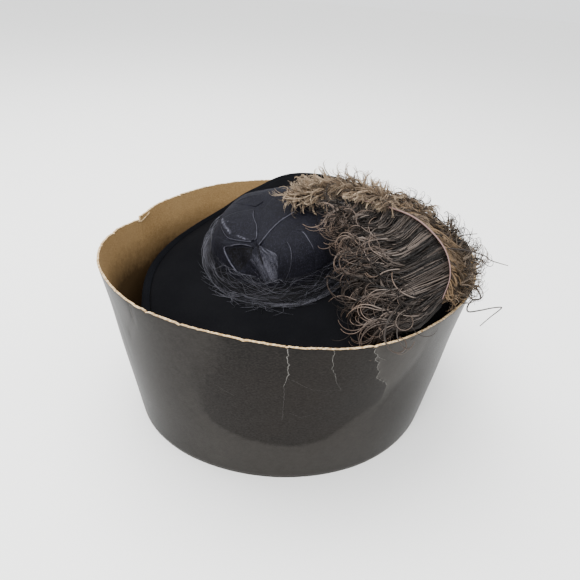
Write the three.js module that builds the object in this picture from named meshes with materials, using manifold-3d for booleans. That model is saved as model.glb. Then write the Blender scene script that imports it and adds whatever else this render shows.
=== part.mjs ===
// A wide-brimmed felt hat with a draped velvet crown and a curled ostrich plume,
// lying in its open oval paper hat box. Millimetres, +Z up.
// The origin is the middle of the box's underside. The viewer stands on the -Y side.
import * as THREE from "three";
import { mergeVertices } from "three/addons/utils/BufferGeometryUtils.js";
import Module from "manifold-3d";

const wasm = await Module();
wasm.setup();

// Box: an oval tub that narrows towards the bottom.
const gap = 0.3; // clearance between pieces that touch
const boxLong = 225; // outer half length at the nominal rim height
const boxShort = 206; // outer half width at the nominal rim height
const boxTurn = 19.5; // degrees from +X to the long axis
const boxHeight = 210; // nominal rim height
const boxBottomScale = 0.888; // size at the bottom, as a share of the size at the rim
const boxWall = 2.5; // board thickness
const boxSegments = 66;
const threeLobe = { share: 0.006, turn: -7 }; // how far the oval is out of true
const fourLobe = { share: 0.009, turn: 32 };

// The cut rim has sagged and stretched, so its height changes round the box.
const rimTable = [
  { bearing: 0, height: 208 },
  { bearing: 30, height: 204 },
  { bearing: 60, height: 204 },
  { bearing: 90, height: 208 },
  { bearing: 120, height: 209 },
  { bearing: 145, height: 207.5 },
  { bearing: 155, height: 207.5 },
  { bearing: 167, height: 202.5 },
  { bearing: 180, height: 209 },
  { bearing: 195, height: 214.5 },
  { bearing: 210, height: 218 },
  { bearing: 225, height: 217.5 },
  { bearing: 240, height: 219.5 },
  { bearing: 255, height: 219 },
  { bearing: 270, height: 214.5 },
  { bearing: 285, height: 210.5 },
  { bearing: 300, height: 208.5 },
  { bearing: 315, height: 210.5 },
  { bearing: 330, height: 210.5 },
];

// Shallow dents pressed into the board, and one bulge, whose depth is negative.
const dentTable = [
  { bearing: 322, height: 150, depth: 3.5, across: 24, tall: 60 },
  { bearing: 300, height: 90, depth: 2, across: 20, tall: 60 },
  { bearing: 214, height: 175, depth: 3, across: 18, tall: 45 },
  { bearing: 196, height: 215, depth: -5, across: 24, tall: 110 },
];

// Hat: its crown stands on a plane that leans towards the viewer.
const crownSpot = new THREE.Vector3(-20, 42, 174); // middle of the crown's foot
const crownPitch = 9; // degrees, back up
const crownRoll = -4.3; // degrees, right side up
const crownHalfWidth = 91.5;
const crownHalfDepth = 98;
const crownHeight = 60;
const feltThick = 2;
const hatSegments = 58;

// Crown profile from the middle of the top down to the foot.
const crownProfile = [
  { reach: 0, rise: 1 },
  { reach: 0.2, rise: 0.997 },
  { reach: 0.45, rise: 0.985 },
  { reach: 0.66, rise: 0.92 },
  { reach: 0.8, rise: 0.8 },
  { reach: 0.88, rise: 0.62 },
  { reach: 0.955, rise: 0.35 },
  { reach: 1.0, rise: 0.1 },
  { reach: 1.06, rise: 0 },
];

// Middle of the rolled brim edge, measured from the box's axis: it droops against the wall
// at the left, climbs over the back of the rim and lies inside the box everywhere else.
const brimTable = [
  { bearing: 0, reach: 202, height: 186 },
  { bearing: 30, reach: 201, height: 200 },
  { bearing: 45, reach: 203, height: 209 },
  { bearing: 60, reach: 206, height: 215 },
  { bearing: 75, reach: 211, height: 219 },
  { bearing: 88, reach: 211, height: 219 },
  { bearing: 95, reach: 206, height: 217 },
  { bearing: 101, reach: 198, height: 213 },
  { bearing: 107, reach: 196, height: 203 },
  { bearing: 114, reach: 198, height: 191 },
  { bearing: 126, reach: 197, height: 170 },
  { bearing: 140, reach: 195, height: 157 },
  { bearing: 155, reach: 192, height: 150 },
  { bearing: 170, reach: 189, height: 145 },
  { bearing: 185, reach: 185, height: 142 },
  { bearing: 195, reach: 184, height: 140 },
  { bearing: 215, reach: 187, height: 137 },
  { bearing: 240, reach: 193, height: 134 },
  { bearing: 270, reach: 196, height: 137 },
  { bearing: 300, reach: 196, height: 149 },
  { bearing: 330, reach: 200, height: 165 },
];
const brimSteps = [0.2, 0.55, 1];
const rollHalfWide = 5; // rolled brim edge, half its width
const rollHalfThick = 3;
const rollSides = 6;

// Leaves of folded velvet laid over the crown. Root and tip are given by their bearing
// on the crown and by how far down the profile they lie, 0 at the top and 1 at the foot.
// The crown is faceted, so each leaf is lifted a little off it. A flap keeps its width
// to the tip, and the others close to a point.
const leafTable = [
  { name: "velvet_leaf_front", root: [-106, 0.5], tip: [-97, 0.79], wide: 29, crest: 3, lift: 1.7 },
  { name: "velvet_leaf_front_right", root: [-72, 0.42], tip: [-79, 0.79], wide: 17, crest: 3, lift: 1.7 },
  { name: "velvet_leaf_left", root: [-127, 0.53], tip: [-165, 0.8], wide: 16, crest: 3, lift: 1.7 },
  { name: "velvet_leaf_upper_left", root: [-119, 0.445], tip: [172, 0.41], wide: 36, crest: 2, lift: 1.7,
    flap: true },
  { name: "velvet_leaf_top", root: [-104, 0.4], tip: [62, 0.22], wide: 30, crest: 3, lift: 1.3 },
  { name: "velvet_leaf_right", root: [-50, 0.34], tip: [-44, 0.77], wide: 36, crest: 3, lift: 1.7 },
  { name: "velvet_leaf_back_left", root: [140, 0.26], tip: [132, 0.78], wide: 38, crest: 4, lift: 1.7 },
  { name: "velvet_leaf_back", root: [84, 0.36], tip: [84, 0.79], wide: 38, crest: 4, lift: 1.7 },
];
const leafThick = 2;
const leafLong = 6;
const leafAcross = 4;

// Wreath of tangled strands round the foot of the crown.
const wreathTop = 0.83; // where it starts down the profile
const wreathFoot = 0.965;
const wreathThick = 4;
const wreathSegments = 36;
const wreathLocks = 10;
const lockSides = 4;

// Plume: a bent shaft with long barbs on the inner side and short ones on the outer side.
// Each row is a station along the shaft, with the bend and the tip of its inner barbs
// and of its outer barbs, as [x, y, z].
const plumeStations = [
  { shaft: [52, 44, 262], innerBend: [40, 12, 262], innerTip: [32, -8, 246],
    outerBend: [74, 70, 270], outerTip: [86, 92, 252] },
  { shaft: [92, -6, 268], innerBend: [64, -28, 258], innerTip: [44, -46, 232],
    outerBend: [124, 30, 274], outerTip: [144, 52, 256] },
  { shaft: [114, -38, 270], innerBend: [78, -58, 254], innerTip: [44, -80, 202],
    outerBend: [152, -6, 269], outerTip: [178, 14, 251] },
  { shaft: [132, -65, 268], innerBend: [92, -84, 248], innerTip: [52, -106, 178],
    outerBend: [172, -44, 260], outerTip: [204, -28, 240] },
  { shaft: [145, -92, 262], innerBend: [106, -108, 242], innerTip: [62, -132, 169],
    outerBend: [184, -72, 250], outerTip: [215, -60, 232] },
  { shaft: [153, -118, 254], innerBend: [120, -128, 238], innerTip: [84, -157, 180],
    outerBend: [190, -100, 240], outerTip: [212, -92, 224] },
  { shaft: [154, -138, 244], innerBend: [130, -144, 232], innerTip: [108, -166, 202],
    outerBend: [184, -122, 232], outerTip: [202, -112, 220] },
];
const innerLocks = 12;
const outerLocks = 9;
const shaftRadius = 1.8;
const shaftSides = 6;
const shaftSteps = 18;
const shaftRoot = new THREE.Vector3(26, 74, 246);
const shaftEnd = new THREE.Vector3(150, -152, 233);

// Curled light head of the plume, over the right shoulder of the crown.
const headSpine = [
  { at: [-4, 44, 246], round: 14 },
  { at: [22, 56, 251], round: 24 },
  { at: [52, 62, 260], round: 28 },
  { at: [84, 44, 264], round: 20 },
  { at: [106, 20, 266], round: 12 },
];
const headLocks = 12;
const headLockReach = 30;

const deg = Math.PI / 180;

// A value read off a table by bearing, eased between its rows and round the circle.
function readRound(table, column, bearing) {
  const count = table.length;
  const turned = ((bearing - table[0].bearing) % 360 + 360) % 360;
  let row = count - 1;
  while (row > 0 && table[row].bearing - table[0].bearing > turned) row -= 1;
  const pick = (i) => table[((i % count) + count) % count][column];
  const place = (i) => {
    const wrap = Math.floor(i / count);
    return table[((i % count) + count) % count].bearing - table[0].bearing + 360 * wrap;
  };
  const span = place(row + 1) - place(row);
  const t = (turned - place(row)) / span;
  const slope = (i) => (pick(i + 1) - pick(i - 1)) / (place(i + 1) - place(i - 1));
  const a = pick(row);
  const b = pick(row + 1);
  const m = slope(row) * span;
  const n = slope(row + 1) * span;
  const t2 = t * t;
  const t3 = t2 * t;
  return (2 * t3 - 3 * t2 + 1) * a + (t3 - 2 * t2 + t) * m + (3 * t2 - 2 * t3) * b + (t3 - t2) * n;
}

function polar(reach, bearing, z) {
  return new THREE.Vector3(reach * Math.cos(bearing * deg), reach * Math.sin(bearing * deg), z);
}

// Outer radius of the box along a bearing at a height.
function boxRadius(bearing, z) {
  const across = Math.cos((bearing - boxTurn) * deg) / boxLong;
  const along = Math.sin((bearing - boxTurn) * deg) / boxShort;
  const oval = 1 / Math.hypot(across, along);
  const lobes =
    threeLobe.share * Math.cos(3 * (bearing - threeLobe.turn) * deg) +
    fourLobe.share * Math.cos(4 * (bearing - fourLobe.turn) * deg);
  const taper = boxBottomScale + (1 - boxBottomScale) * (z / boxHeight);
  let dent = 0;
  for (const row of dentTable) {
    const side = ((bearing - row.bearing + 540) % 360) - 180;
    dent += row.depth * Math.exp(-((side / row.across) ** 2) - ((z - row.height) / row.tall) ** 2);
  }
  return oval * (1 + lobes) * taper - dent;
}

function rimHeight(bearing) {
  return readRound(rimTable, "height", bearing);
}

// Triangles between rings of points. The ends close on a point, or the last ring
// joins the first one.
function ringGeometry(rings, firstPole, lastPole) {
  const points = [];
  const faces = [];
  const count = rings[0].length;
  for (const ring of rings) {
    for (const p of ring) points.push(p.x, p.y, p.z);
  }
  const bands = firstPole ? rings.length - 1 : rings.length;
  for (let i = 0; i < bands; i += 1) {
    const below = i * count;
    const above = ((i + 1) % rings.length) * count;
    for (let j = 0; j < count; j += 1) {
      const k = (j + 1) % count;
      faces.push(below + j, below + k, above + k, below + j, above + k, above + j);
    }
  }
  if (firstPole) {
    const first = points.length / 3;
    points.push(firstPole.x, firstPole.y, firstPole.z);
    points.push(lastPole.x, lastPole.y, lastPole.z);
    const end = (rings.length - 1) * count;
    for (let j = 0; j < count; j += 1) {
      const k = (j + 1) % count;
      faces.push(first, k, j);
      faces.push(first + 1, end + j, end + k);
    }
  }
  return facingOut(points, faces);
}

// A closed sheet between two grids of points with the same rows and columns.
function sheetGeometry(top, bottom) {
  const rows = top.length;
  const cols = top[0].length;
  const points = [];
  const faces = [];
  for (const grid of [top, bottom]) {
    for (const row of grid) {
      for (const p of row) points.push(p.x, p.y, p.z);
    }
  }
  const under = rows * cols;
  const at = (i, j) => i * cols + j;
  for (let i = 0; i < rows - 1; i += 1) {
    for (let j = 0; j < cols - 1; j += 1) {
      const a = at(i, j);
      const b = at(i + 1, j);
      const c = at(i + 1, j + 1);
      const d = at(i, j + 1);
      faces.push(a, b, c, a, c, d);
      faces.push(under + a, under + c, under + b, under + a, under + d, under + c);
    }
  }
  const edge = [];
  for (let i = 0; i < rows; i += 1) edge.push(at(i, 0));
  for (let j = 1; j < cols; j += 1) edge.push(at(rows - 1, j));
  for (let i = rows - 2; i >= 0; i -= 1) edge.push(at(i, cols - 1));
  for (let j = cols - 2; j > 0; j -= 1) edge.push(at(0, j));
  for (let n = 0; n < edge.length; n += 1) {
    const a = edge[n];
    const b = edge[(n + 1) % edge.length];
    faces.push(b, a, under + a, b, under + a, under + b);
  }
  return facingOut(points, faces);
}

function facingOut(points, faces) {
  const corner = (i) => new THREE.Vector3(points[3 * i], points[3 * i + 1], points[3 * i + 2]);
  let volume = 0;
  for (let f = 0; f < faces.length; f += 3) {
    const a = corner(faces[f]);
    const b = corner(faces[f + 1]);
    const c = corner(faces[f + 2]);
    volume += a.dot(b.cross(c));
  }
  if (volume < 0) {
    for (let f = 0; f < faces.length; f += 3) {
      [faces[f + 1], faces[f + 2]] = [faces[f + 2], faces[f + 1]];
    }
  }
  const geometry = new THREE.BufferGeometry();
  geometry.setAttribute("position", new THREE.Float32BufferAttribute(points, 3));
  geometry.setIndex(faces);
  return geometry;
}

function toSolid(geometry) {
  const bare = geometry.clone();
  bare.deleteAttribute("normal");
  bare.deleteAttribute("uv");
  const merged = mergeVertices(bare, 1e-4);
  const mesh = new wasm.Mesh({
    numProp: 3,
    vertProperties: new Float32Array(merged.attributes.position.array),
    triVerts: new Uint32Array(merged.index.array),
  });
  return new wasm.Manifold(mesh);
}

function fromSolid(solid) {
  const mesh = solid.getMesh();
  const geometry = new THREE.BufferGeometry();
  geometry.setAttribute("position", new THREE.BufferAttribute(mesh.vertProperties, 3));
  geometry.setIndex(new THREE.BufferAttribute(mesh.triVerts, 1));
  return geometry;
}

// The outer body of a solid, without the small pockets that crossing locks close off.
function wholeBody(solid) {
  let best = null;
  for (const piece of solid.decompose()) {
    if (!best || piece.volume() > best.volume()) best = piece;
  }
  return best;
}

function fuse(geometries) {
  let whole = toSolid(geometries[0]);
  for (const geometry of geometries.slice(1)) whole = whole.add(toSolid(geometry));
  return whole;
}

// Box wall: up the outside, over the cut rim and down the inside.
function boxWallGeometry() {
  const levels = [0, 0.45, 0.75, 1];
  const path = [];
  for (const level of levels) path.push({ level, inset: 0 });
  for (const level of [...levels].reverse()) path.push({ level, inset: boxWall });
  const rings = path.map(({ level, inset }) => {
    const ring = [];
    for (let i = 0; i < boxSegments; i += 1) {
      const bearing = (360 * i) / boxSegments;
      const z = level * rimHeight(bearing);
      ring.push(polar(boxRadius(bearing, z) - inset, bearing, z));
    }
    return ring;
  });
  return ringGeometry(rings);
}

// Box bottom: a board dropped inside the foot of the wall.
function boxBottomGeometry() {
  const rings = [0, boxWall].map((z) => {
    const ring = [];
    for (let i = 0; i < boxSegments; i += 1) {
      const bearing = (360 * i) / boxSegments;
      const inner = Math.min(boxRadius(bearing, 0), boxRadius(bearing, boxWall)) - boxWall;
      ring.push(polar(inner - gap, bearing, z));
    }
    return ring;
  });
  return ringGeometry(rings, new THREE.Vector3(0, 0, 0), new THREE.Vector3(0, 0, boxWall));
}

const hatPose = new THREE.Matrix4()
  .makeRotationFromEuler(new THREE.Euler(crownPitch * deg, crownRoll * deg, 0, "YXZ"))
  .setPosition(crownSpot);
const hatUp = new THREE.Vector3(0, 0, 1).transformDirection(hatPose);

// Height of the plane that the crown stands on.
function brimPlane(x, y) {
  return crownSpot.z - (hatUp.x * (x - crownSpot.x) + hatUp.y * (y - crownSpot.y)) / hatUp.z;
}

// Length of the crown profile up to each of its rows, as a share of the whole.
const profileShare = (() => {
  const mean = (crownHalfWidth + crownHalfDepth) / 2;
  const sums = [0];
  for (let i = 1; i < crownProfile.length; i += 1) {
    const run = (crownProfile[i].reach - crownProfile[i - 1].reach) * mean;
    const drop = (crownProfile[i].rise - crownProfile[i - 1].rise) * crownHeight;
    sums.push(sums[i - 1] + Math.hypot(run, drop));
  }
  return sums.map((sum) => sum / sums[sums.length - 1]);
})();

function profileAt(share) {
  let row = 1;
  while (row < profileShare.length - 1 && profileShare[row] < share) row += 1;
  const span = profileShare[row] - profileShare[row - 1];
  const t = (share - profileShare[row - 1]) / span;
  const a = crownProfile[row - 1];
  const b = crownProfile[row];
  return { reach: a.reach + (b.reach - a.reach) * t, rise: a.rise + (b.rise - a.rise) * t };
}

// A point of the crown in the hat's own frame, lifted off its surface.
function crownLocal(bearing, share, lift) {
  const spot = (b, s) => {
    const { reach, rise } = profileAt(s);
    return new THREE.Vector3(
      crownHalfWidth * reach * Math.cos(b * deg),
      crownHalfDepth * reach * Math.sin(b * deg),
      crownHeight * rise,
    );
  };
  const here = spot(bearing, share);
  if (lift === 0) return here;
  const step = 0.03;
  const low = Math.max(share - step, 0.001);
  const high = Math.min(share + step, 0.999);
  const down = spot(bearing, high).sub(spot(bearing, low));
  const round = spot(bearing + 2, Math.max(share, 0.01)).sub(spot(bearing - 2, Math.max(share, 0.01)));
  const out = down.cross(round).normalize();
  return here.addScaledVector(out, lift);
}

function crownPoint(bearing, share, lift) {
  return crownLocal(bearing, share, lift).applyMatrix4(hatPose);
}

// Edge of the brim before its roll. Inside the box it stops at the wall.
function brimEdge(bearing) {
  const z = readRound(brimTable, "height", bearing);
  let reach = readRound(brimTable, "reach", bearing);
  if (z - rollHalfThick < rimHeight(bearing) + gap) {
    const free = boxRadius(bearing, z - 2 * rollHalfThick) - boxWall;
    reach = Math.min(reach, free - 2 * gap - rollHalfWide);
  }
  return polar(reach, bearing, z);
}

function brimPoint(bearing, step, drop) {
  const foot = crownPoint(bearing, 1, 0);
  const roll = brimEdge(bearing);
  const edge = polar(Math.hypot(roll.x, roll.y) - rollHalfWide - gap, bearing, roll.z);
  const x = foot.x + (edge.x - foot.x) * step;
  const y = foot.y + (edge.y - foot.y) * step;
  const lift = edge.z - brimPlane(edge.x, edge.y);
  return new THREE.Vector3(x, y, brimPlane(x, y) + lift * step ** 1.3 - drop);
}

// Felt hat body: over the crown, out along the brim, back under it and up inside the crown.
function hatBodyGeometry() {
  const bearings = [];
  for (let i = 0; i < hatSegments; i += 1) bearings.push((360 * i) / hatSegments);
  const rings = [];
  for (const share of profileShare.slice(1)) {
    rings.push(bearings.map((bearing) => crownPoint(bearing, share, 0)));
  }
  for (const step of brimSteps) {
    rings.push(bearings.map((bearing) => brimPoint(bearing, step, 0)));
  }
  for (const step of [...brimSteps].reverse()) {
    rings.push(bearings.map((bearing) => brimPoint(bearing, step, feltThick)));
  }
  for (const share of profileShare.slice(1, -1).reverse()) {
    rings.push(bearings.map((bearing) => crownPoint(bearing, share, -feltThick)));
  }
  return ringGeometry(rings, crownPoint(0, 0, 0), crownPoint(0, 0, -feltThick));
}

// Rolled edge that finishes the brim.
function brimRollGeometry() {
  const rings = [];
  const corner = rollHalfWide / Math.cos(Math.PI / rollSides);
  for (let s = 0; s < rollSides; s += 1) {
    const turn = (2 * Math.PI * (s + 0.5)) / rollSides;
    const ring = [];
    for (let i = 0; i < hatSegments; i += 1) {
      const bearing = (360 * i) / hatSegments;
      const edge = brimEdge(bearing);
      const reach = Math.hypot(edge.x, edge.y) + corner * Math.cos(turn);
      ring.push(polar(reach, bearing, edge.z - feltThick / 2 + rollHalfThick * Math.sin(turn)));
    }
    rings.push(ring);
  }
  return ringGeometry(rings);
}

// A pointed leaf of velvet with a raised crest, lying on the crown.
function leafGeometry({ root, tip, wide, crest, lift, flap }) {
  const flat = ([bearing, share]) =>
    new THREE.Vector2(share * Math.cos(bearing * deg), share * Math.sin(bearing * deg));
  const start = flat(root);
  const end = flat(tip);
  const run = end.clone().sub(start);
  const side = new THREE.Vector2(-run.y, run.x).normalize();
  const scale = 130; // millimetres of crown per unit of the flat plan
  const top = [];
  const bottom = [];
  for (let i = 0; i <= leafLong; i += 1) {
    const u = i / leafLong;
    const pointed = 0.08 + 0.92 * Math.sin(Math.PI * (0.06 + 0.88 * u)) ** 0.8;
    const half = (wide / 2 / scale) * (flap ? Math.min(1, 0.35 + 1.9 * u) : pointed);
    const topRow = [];
    const bottomRow = [];
    for (let j = 0; j <= leafAcross; j += 1) {
      const v = (2 * j) / leafAcross - 1;
      const at = start.clone().addScaledVector(run, u).addScaledVector(side, half * v);
      const bearing = Math.atan2(at.y, at.x) / deg;
      const share = Math.min(at.length(), wreathTop - 0.02);
      const ridge = crest * (1 - Math.abs(v)) * Math.sin(Math.PI * u);
      topRow.push(crownPoint(bearing, share, lift + leafThick + ridge));
      bottomRow.push(crownPoint(bearing, share, lift));
    }
    top.push(topRow);
    bottom.push(bottomRow);
  }
  return sheetGeometry(top, bottom);
}

// A tapering lock along a curve. Its section is flat, with its thin way along `up`.
function lockGeometry(points, up, wide, thick, steps, taper = 0.35) {
  const curve = new THREE.CatmullRomCurve3(points);
  const rings = [];
  for (let i = 0; i <= steps; i += 1) {
    const u = i / steps;
    const at = curve.getPoint(u);
    const along = curve.getTangent(u);
    const side = new THREE.Vector3().crossVectors(along, up).normalize();
    const rise = new THREE.Vector3().crossVectors(side, along).normalize();
    const size = Math.min(1, 0.55 + 2 * u) * (1 - (1 - taper) * u ** 2);
    const ring = [];
    for (let s = 0; s < lockSides; s += 1) {
      const turn = (2 * Math.PI * s) / lockSides;
      ring.push(at.clone()
        .addScaledVector(side, (wide / 2) * size * Math.cos(turn))
        .addScaledVector(rise, (thick / 2) * size * Math.sin(turn)));
    }
    rings.push(ring);
  }
  return ringGeometry(rings, curve.getPoint(0), curve.getPoint(1));
}

// Wreath: a backing ring round the foot of the crown with strands twisted over it.
function wreathSolid() {
  const section = [
    [wreathTop, 0.8],
    [wreathTop + 0.02, wreathThick],
    [wreathFoot - 0.02, wreathThick + 1],
    [wreathFoot, 0.8],
  ];
  const rings = section.map(([share, lift]) => {
    const ring = [];
    for (let i = 0; i < wreathSegments; i += 1) {
      ring.push(crownPoint((360 * i) / wreathSegments, share, lift));
    }
    return ring;
  });
  const pieces = [ringGeometry(rings)];
  for (let n = 0; n < wreathLocks; n += 1) {
    const from = (360 * n) / wreathLocks;
    const high = n % 2 === 0;
    const points = [];
    for (let k = 0; k <= 3; k += 1) {
      const swing = Math.sin((Math.PI * k) / 1.5 + (high ? 0 : Math.PI));
      const share = 0.895 + 0.035 * swing;
      points.push(crownPoint(from + 16 * k, share, wreathThick + 1.4 + (k % 2)));
    }
    const up = crownPoint(from + 16, 0.9, 10).sub(crownPoint(from + 16, 0.9, 0));
    pieces.push(lockGeometry(points, up, 8, 6, 4, 0.6));
  }
  return fuse(pieces);
}

function stationCurve(column) {
  return new THREE.CatmullRomCurve3(
    plumeStations.map((station) => new THREE.Vector3(...station[column])));
}

// Path of the shaft, lifted clear of the barbs that it carries.
function shaftPath(lift) {
  const points = [shaftRoot.clone()];
  for (const station of plumeStations) points.push(new THREE.Vector3(...station.shaft));
  points.push(shaftEnd.clone());
  for (const p of points) p.z += lift;
  return new THREE.CatmullRomCurve3(points);
}

function shaftGeometry(radius, lift) {
  const outline = new THREE.Shape();
  for (let s = 0; s < shaftSides; s += 1) {
    const turn = (2 * Math.PI * s) / shaftSides;
    if (s === 0) outline.moveTo(radius, 0);
    else outline.lineTo(radius * Math.cos(turn), radius * Math.sin(turn));
  }
  outline.closePath();
  return new THREE.ExtrudeGeometry(outline, {
    steps: shaftSteps,
    bevelEnabled: false,
    extrudePath: shaftPath(lift),
  });
}

// The crown as one solid dome, a little larger, that shapes the underside of what lies on it.
function crownDomeSolid(lift) {
  const rings = profileShare.slice(1).map((share) => {
    const ring = [];
    for (let i = 0; i < hatSegments; i += 1) {
      ring.push(crownPoint((360 * i) / hatSegments, share, lift));
    }
    return ring;
  });
  return toSolid(ringGeometry(rings, crownPoint(0, 0, lift), crownSpot));
}

// Curled head of the plume: a spine of rounded swellings with hooked locks round it.
function headSolid(swell) {
  const spine = new THREE.CatmullRomCurve3(headSpine.map((row) => new THREE.Vector3(...row.at)));
  const steps = 8;
  const rings = [];
  for (let i = 0; i <= steps; i += 1) {
    const u = i / steps;
    const at = spine.getPoint(u);
    const along = spine.getTangent(u);
    const side = new THREE.Vector3().crossVectors(along, new THREE.Vector3(0, 0, 1)).normalize();
    const rise = new THREE.Vector3().crossVectors(side, along).normalize();
    const row = u * (headSpine.length - 1);
    const low = Math.min(Math.floor(row), headSpine.length - 2);
    const round = headSpine[low].round * (1 - row + low) + headSpine[low + 1].round * (row - low);
    const size = round * 0.8 * Math.sqrt(Math.max(1 - (2 * u - 1) ** 6, 0.15)) + swell;
    const ring = [];
    for (let s = 0; s < 8; s += 1) {
      const turn = (2 * Math.PI * s) / 8;
      ring.push(at.clone()
        .addScaledVector(side, size * Math.cos(turn))
        .addScaledVector(rise, size * 0.8 * Math.sin(turn)));
    }
    rings.push(ring);
  }
  const pieces = [ringGeometry(rings, spine.getPoint(0), spine.getPoint(1))];
  for (let n = 0; n < headLocks; n += 1) {
    const u = (n + 0.5) / headLocks;
    const turn = (n * 137.5 + 20) % 360;
    const at = spine.getPoint(u);
    const along = spine.getTangent(u);
    const side = new THREE.Vector3().crossVectors(along, new THREE.Vector3(0, 0, 1)).normalize();
    const rise = new THREE.Vector3().crossVectors(side, along).normalize();
    const lean = 0.15 + 0.85 * Math.abs(Math.sin(turn * deg));
    const out = side.clone().multiplyScalar(Math.cos(turn * deg)).addScaledVector(rise, lean).normalize();
    const points = [
      at.clone(),
      at.clone().addScaledVector(out, headLockReach * 0.75).addScaledVector(along, -5),
      at.clone().addScaledVector(out, headLockReach * 1.05).addScaledVector(along, -14),
      at.clone().addScaledVector(out, headLockReach * 0.85).addScaledVector(along, -22),
    ];
    pieces.push(lockGeometry(points, along, 15 + 2 * swell, 9 + 2 * swell, 4, 0.5));
  }
  return fuse(pieces);
}

// Barbs of the plume: a backing strip under the shaft and a fan of locks on each side.
function plumeSolid() {
  const shaft = stationCurve("shaft");
  const innerBend = stationCurve("innerBend");
  const innerTip = stationCurve("innerTip");
  const outerBend = stationCurve("outerBend");
  const outerTip = stationCurve("outerTip");
  const up = new THREE.Vector3(0.15, -0.2, 1).normalize();
  const rows = 10;
  const top = [];
  const bottom = [];
  for (let i = 0; i <= rows; i += 1) {
    const u = 0.01 + (0.98 * i) / rows;
    const mid = shaft.getPoint(u);
    const line = [
      mid.clone().lerp(innerBend.getPoint(u), 0.75),
      mid.clone().lerp(innerBend.getPoint(u), 0.35).add(new THREE.Vector3(0, 0, 1)),
      mid.clone(),
      mid.clone().lerp(outerBend.getPoint(u), 0.35).add(new THREE.Vector3(0, 0, 1)),
      mid.clone().lerp(outerBend.getPoint(u), 0.75),
    ];
    top.push(line.map((p) => p.clone().addScaledVector(up, -1)));
    bottom.push(line.map((p) => p.clone().addScaledVector(up, -4.5)));
  }
  const pieces = [sheetGeometry(top, bottom)];
  for (let n = 0; n < innerLocks; n += 1) {
    const u = (n + 0.5) / innerLocks;
    const from = shaft.getPoint(u).addScaledVector(up, -3);
    const bend = innerBend.getPoint(Math.min(u + 0.03, 1)).addScaledVector(up, -2 + 2 * (n % 2));
    const tip = innerTip.getPoint(Math.min(u + 0.04, 1));
    const sag = bend.clone().lerp(tip, 0.55).add(new THREE.Vector3(-7, 3, 5));
    pieces.push(lockGeometry([from, bend, sag, tip], up, 24, 8, 5, 0.4));
  }
  for (let n = 0; n < outerLocks; n += 1) {
    const u = (n + 0.5) / outerLocks;
    const from = shaft.getPoint(u).addScaledVector(up, -3);
    const bend = outerBend.getPoint(u).addScaledVector(up, -2 + 2 * (n % 2));
    const tip = outerTip.getPoint(u);
    pieces.push(lockGeometry([from, bend, tip], up, 25, 7, 4, 0.35));
  }
  return fuse(pieces);
}

const finishes = {
  paper: { color: 0x57524d, roughness: 0.75 },
  board: { color: 0x8a6d48, roughness: 0.85 },
  felt: { color: 0x15171b, roughness: 0.95 },
  edge: { color: 0x20222b, roughness: 0.9 },
  velvet: { color: 0x2c2e38, roughness: 0.7 },
  strands: { color: 0x363b4a, roughness: 0.6 },
  barbs: { color: 0x5a4936, roughness: 0.8 },
  curls: { color: 0xa38a68, roughness: 0.8 },
  shaft: { color: 0x8c6a66, roughness: 0.5 },
};

const part = new THREE.Group();
const box = new THREE.Group();
const hat = new THREE.Group();
const trim = new THREE.Group();
part.add(box, hat, trim);

function addMesh(group, name, geometry, finish) {
  const material = new THREE.MeshStandardMaterial({ ...finishes[finish], metalness: 0 });
  const mesh = new THREE.Mesh(geometry, material);
  mesh.name = name;
  group.add(mesh);
}

addMesh(box, "box_wall", boxWallGeometry(), "paper");
addMesh(box, "box_bottom", boxBottomGeometry(), "board");

const hatBody = hatBodyGeometry();
addMesh(hat, "hat_body", hatBody, "felt");
addMesh(hat, "brim_roll", brimRollGeometry(), "edge");
for (const row of leafTable) addMesh(hat, row.name, leafGeometry(row), "velvet");
addMesh(hat, "crown_wreath", fromSolid(wholeBody(wreathSolid())), "strands");

const shaftLift = 1.2;
const head = headSolid(0);
const barbs = plumeSolid()
  .subtract(toSolid(shaftGeometry(shaftRadius + gap, shaftLift)))
  .subtract(headSolid(gap + 0.2));
addMesh(trim, "plume_barbs", fromSolid(wholeBody(barbs)), "barbs");
addMesh(trim, "plume_shaft", shaftGeometry(shaftRadius, shaftLift), "shaft");
const seatedHead = head
  .subtract(toSolid(shaftGeometry(shaftRadius + gap, shaftLift)))
  .subtract(crownDomeSolid(2 * gap));
addMesh(trim, "plume_head", fromSolid(wholeBody(seatedHead)), "curls");

export default part;
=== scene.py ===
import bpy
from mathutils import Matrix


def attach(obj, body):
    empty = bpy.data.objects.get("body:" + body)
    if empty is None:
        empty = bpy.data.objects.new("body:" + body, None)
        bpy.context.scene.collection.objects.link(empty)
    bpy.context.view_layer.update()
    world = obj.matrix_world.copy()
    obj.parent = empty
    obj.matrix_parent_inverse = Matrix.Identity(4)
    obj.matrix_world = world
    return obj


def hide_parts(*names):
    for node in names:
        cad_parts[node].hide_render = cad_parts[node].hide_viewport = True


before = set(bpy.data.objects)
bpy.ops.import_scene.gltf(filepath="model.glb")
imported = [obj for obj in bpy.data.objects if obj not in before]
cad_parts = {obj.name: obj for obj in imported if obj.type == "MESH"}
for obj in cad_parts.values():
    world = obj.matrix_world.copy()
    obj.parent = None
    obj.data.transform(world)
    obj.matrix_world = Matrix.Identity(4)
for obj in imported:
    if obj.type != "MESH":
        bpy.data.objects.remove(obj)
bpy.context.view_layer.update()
print("stage: packed model loaded")

import math
import random

import bpy
from mathutils import Matrix, Vector, noise

mm = 0.001
deg = math.pi / 180
fullTurn = 2 * math.pi

# the photo's viewpoint, in millimetres and degrees
cameraSettings = {
    "place": (-1.7, -571.7, 515.6),
    "pitch": 33.3,
    "roll": 4.3,
    "lens": 32.52,
}


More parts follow.
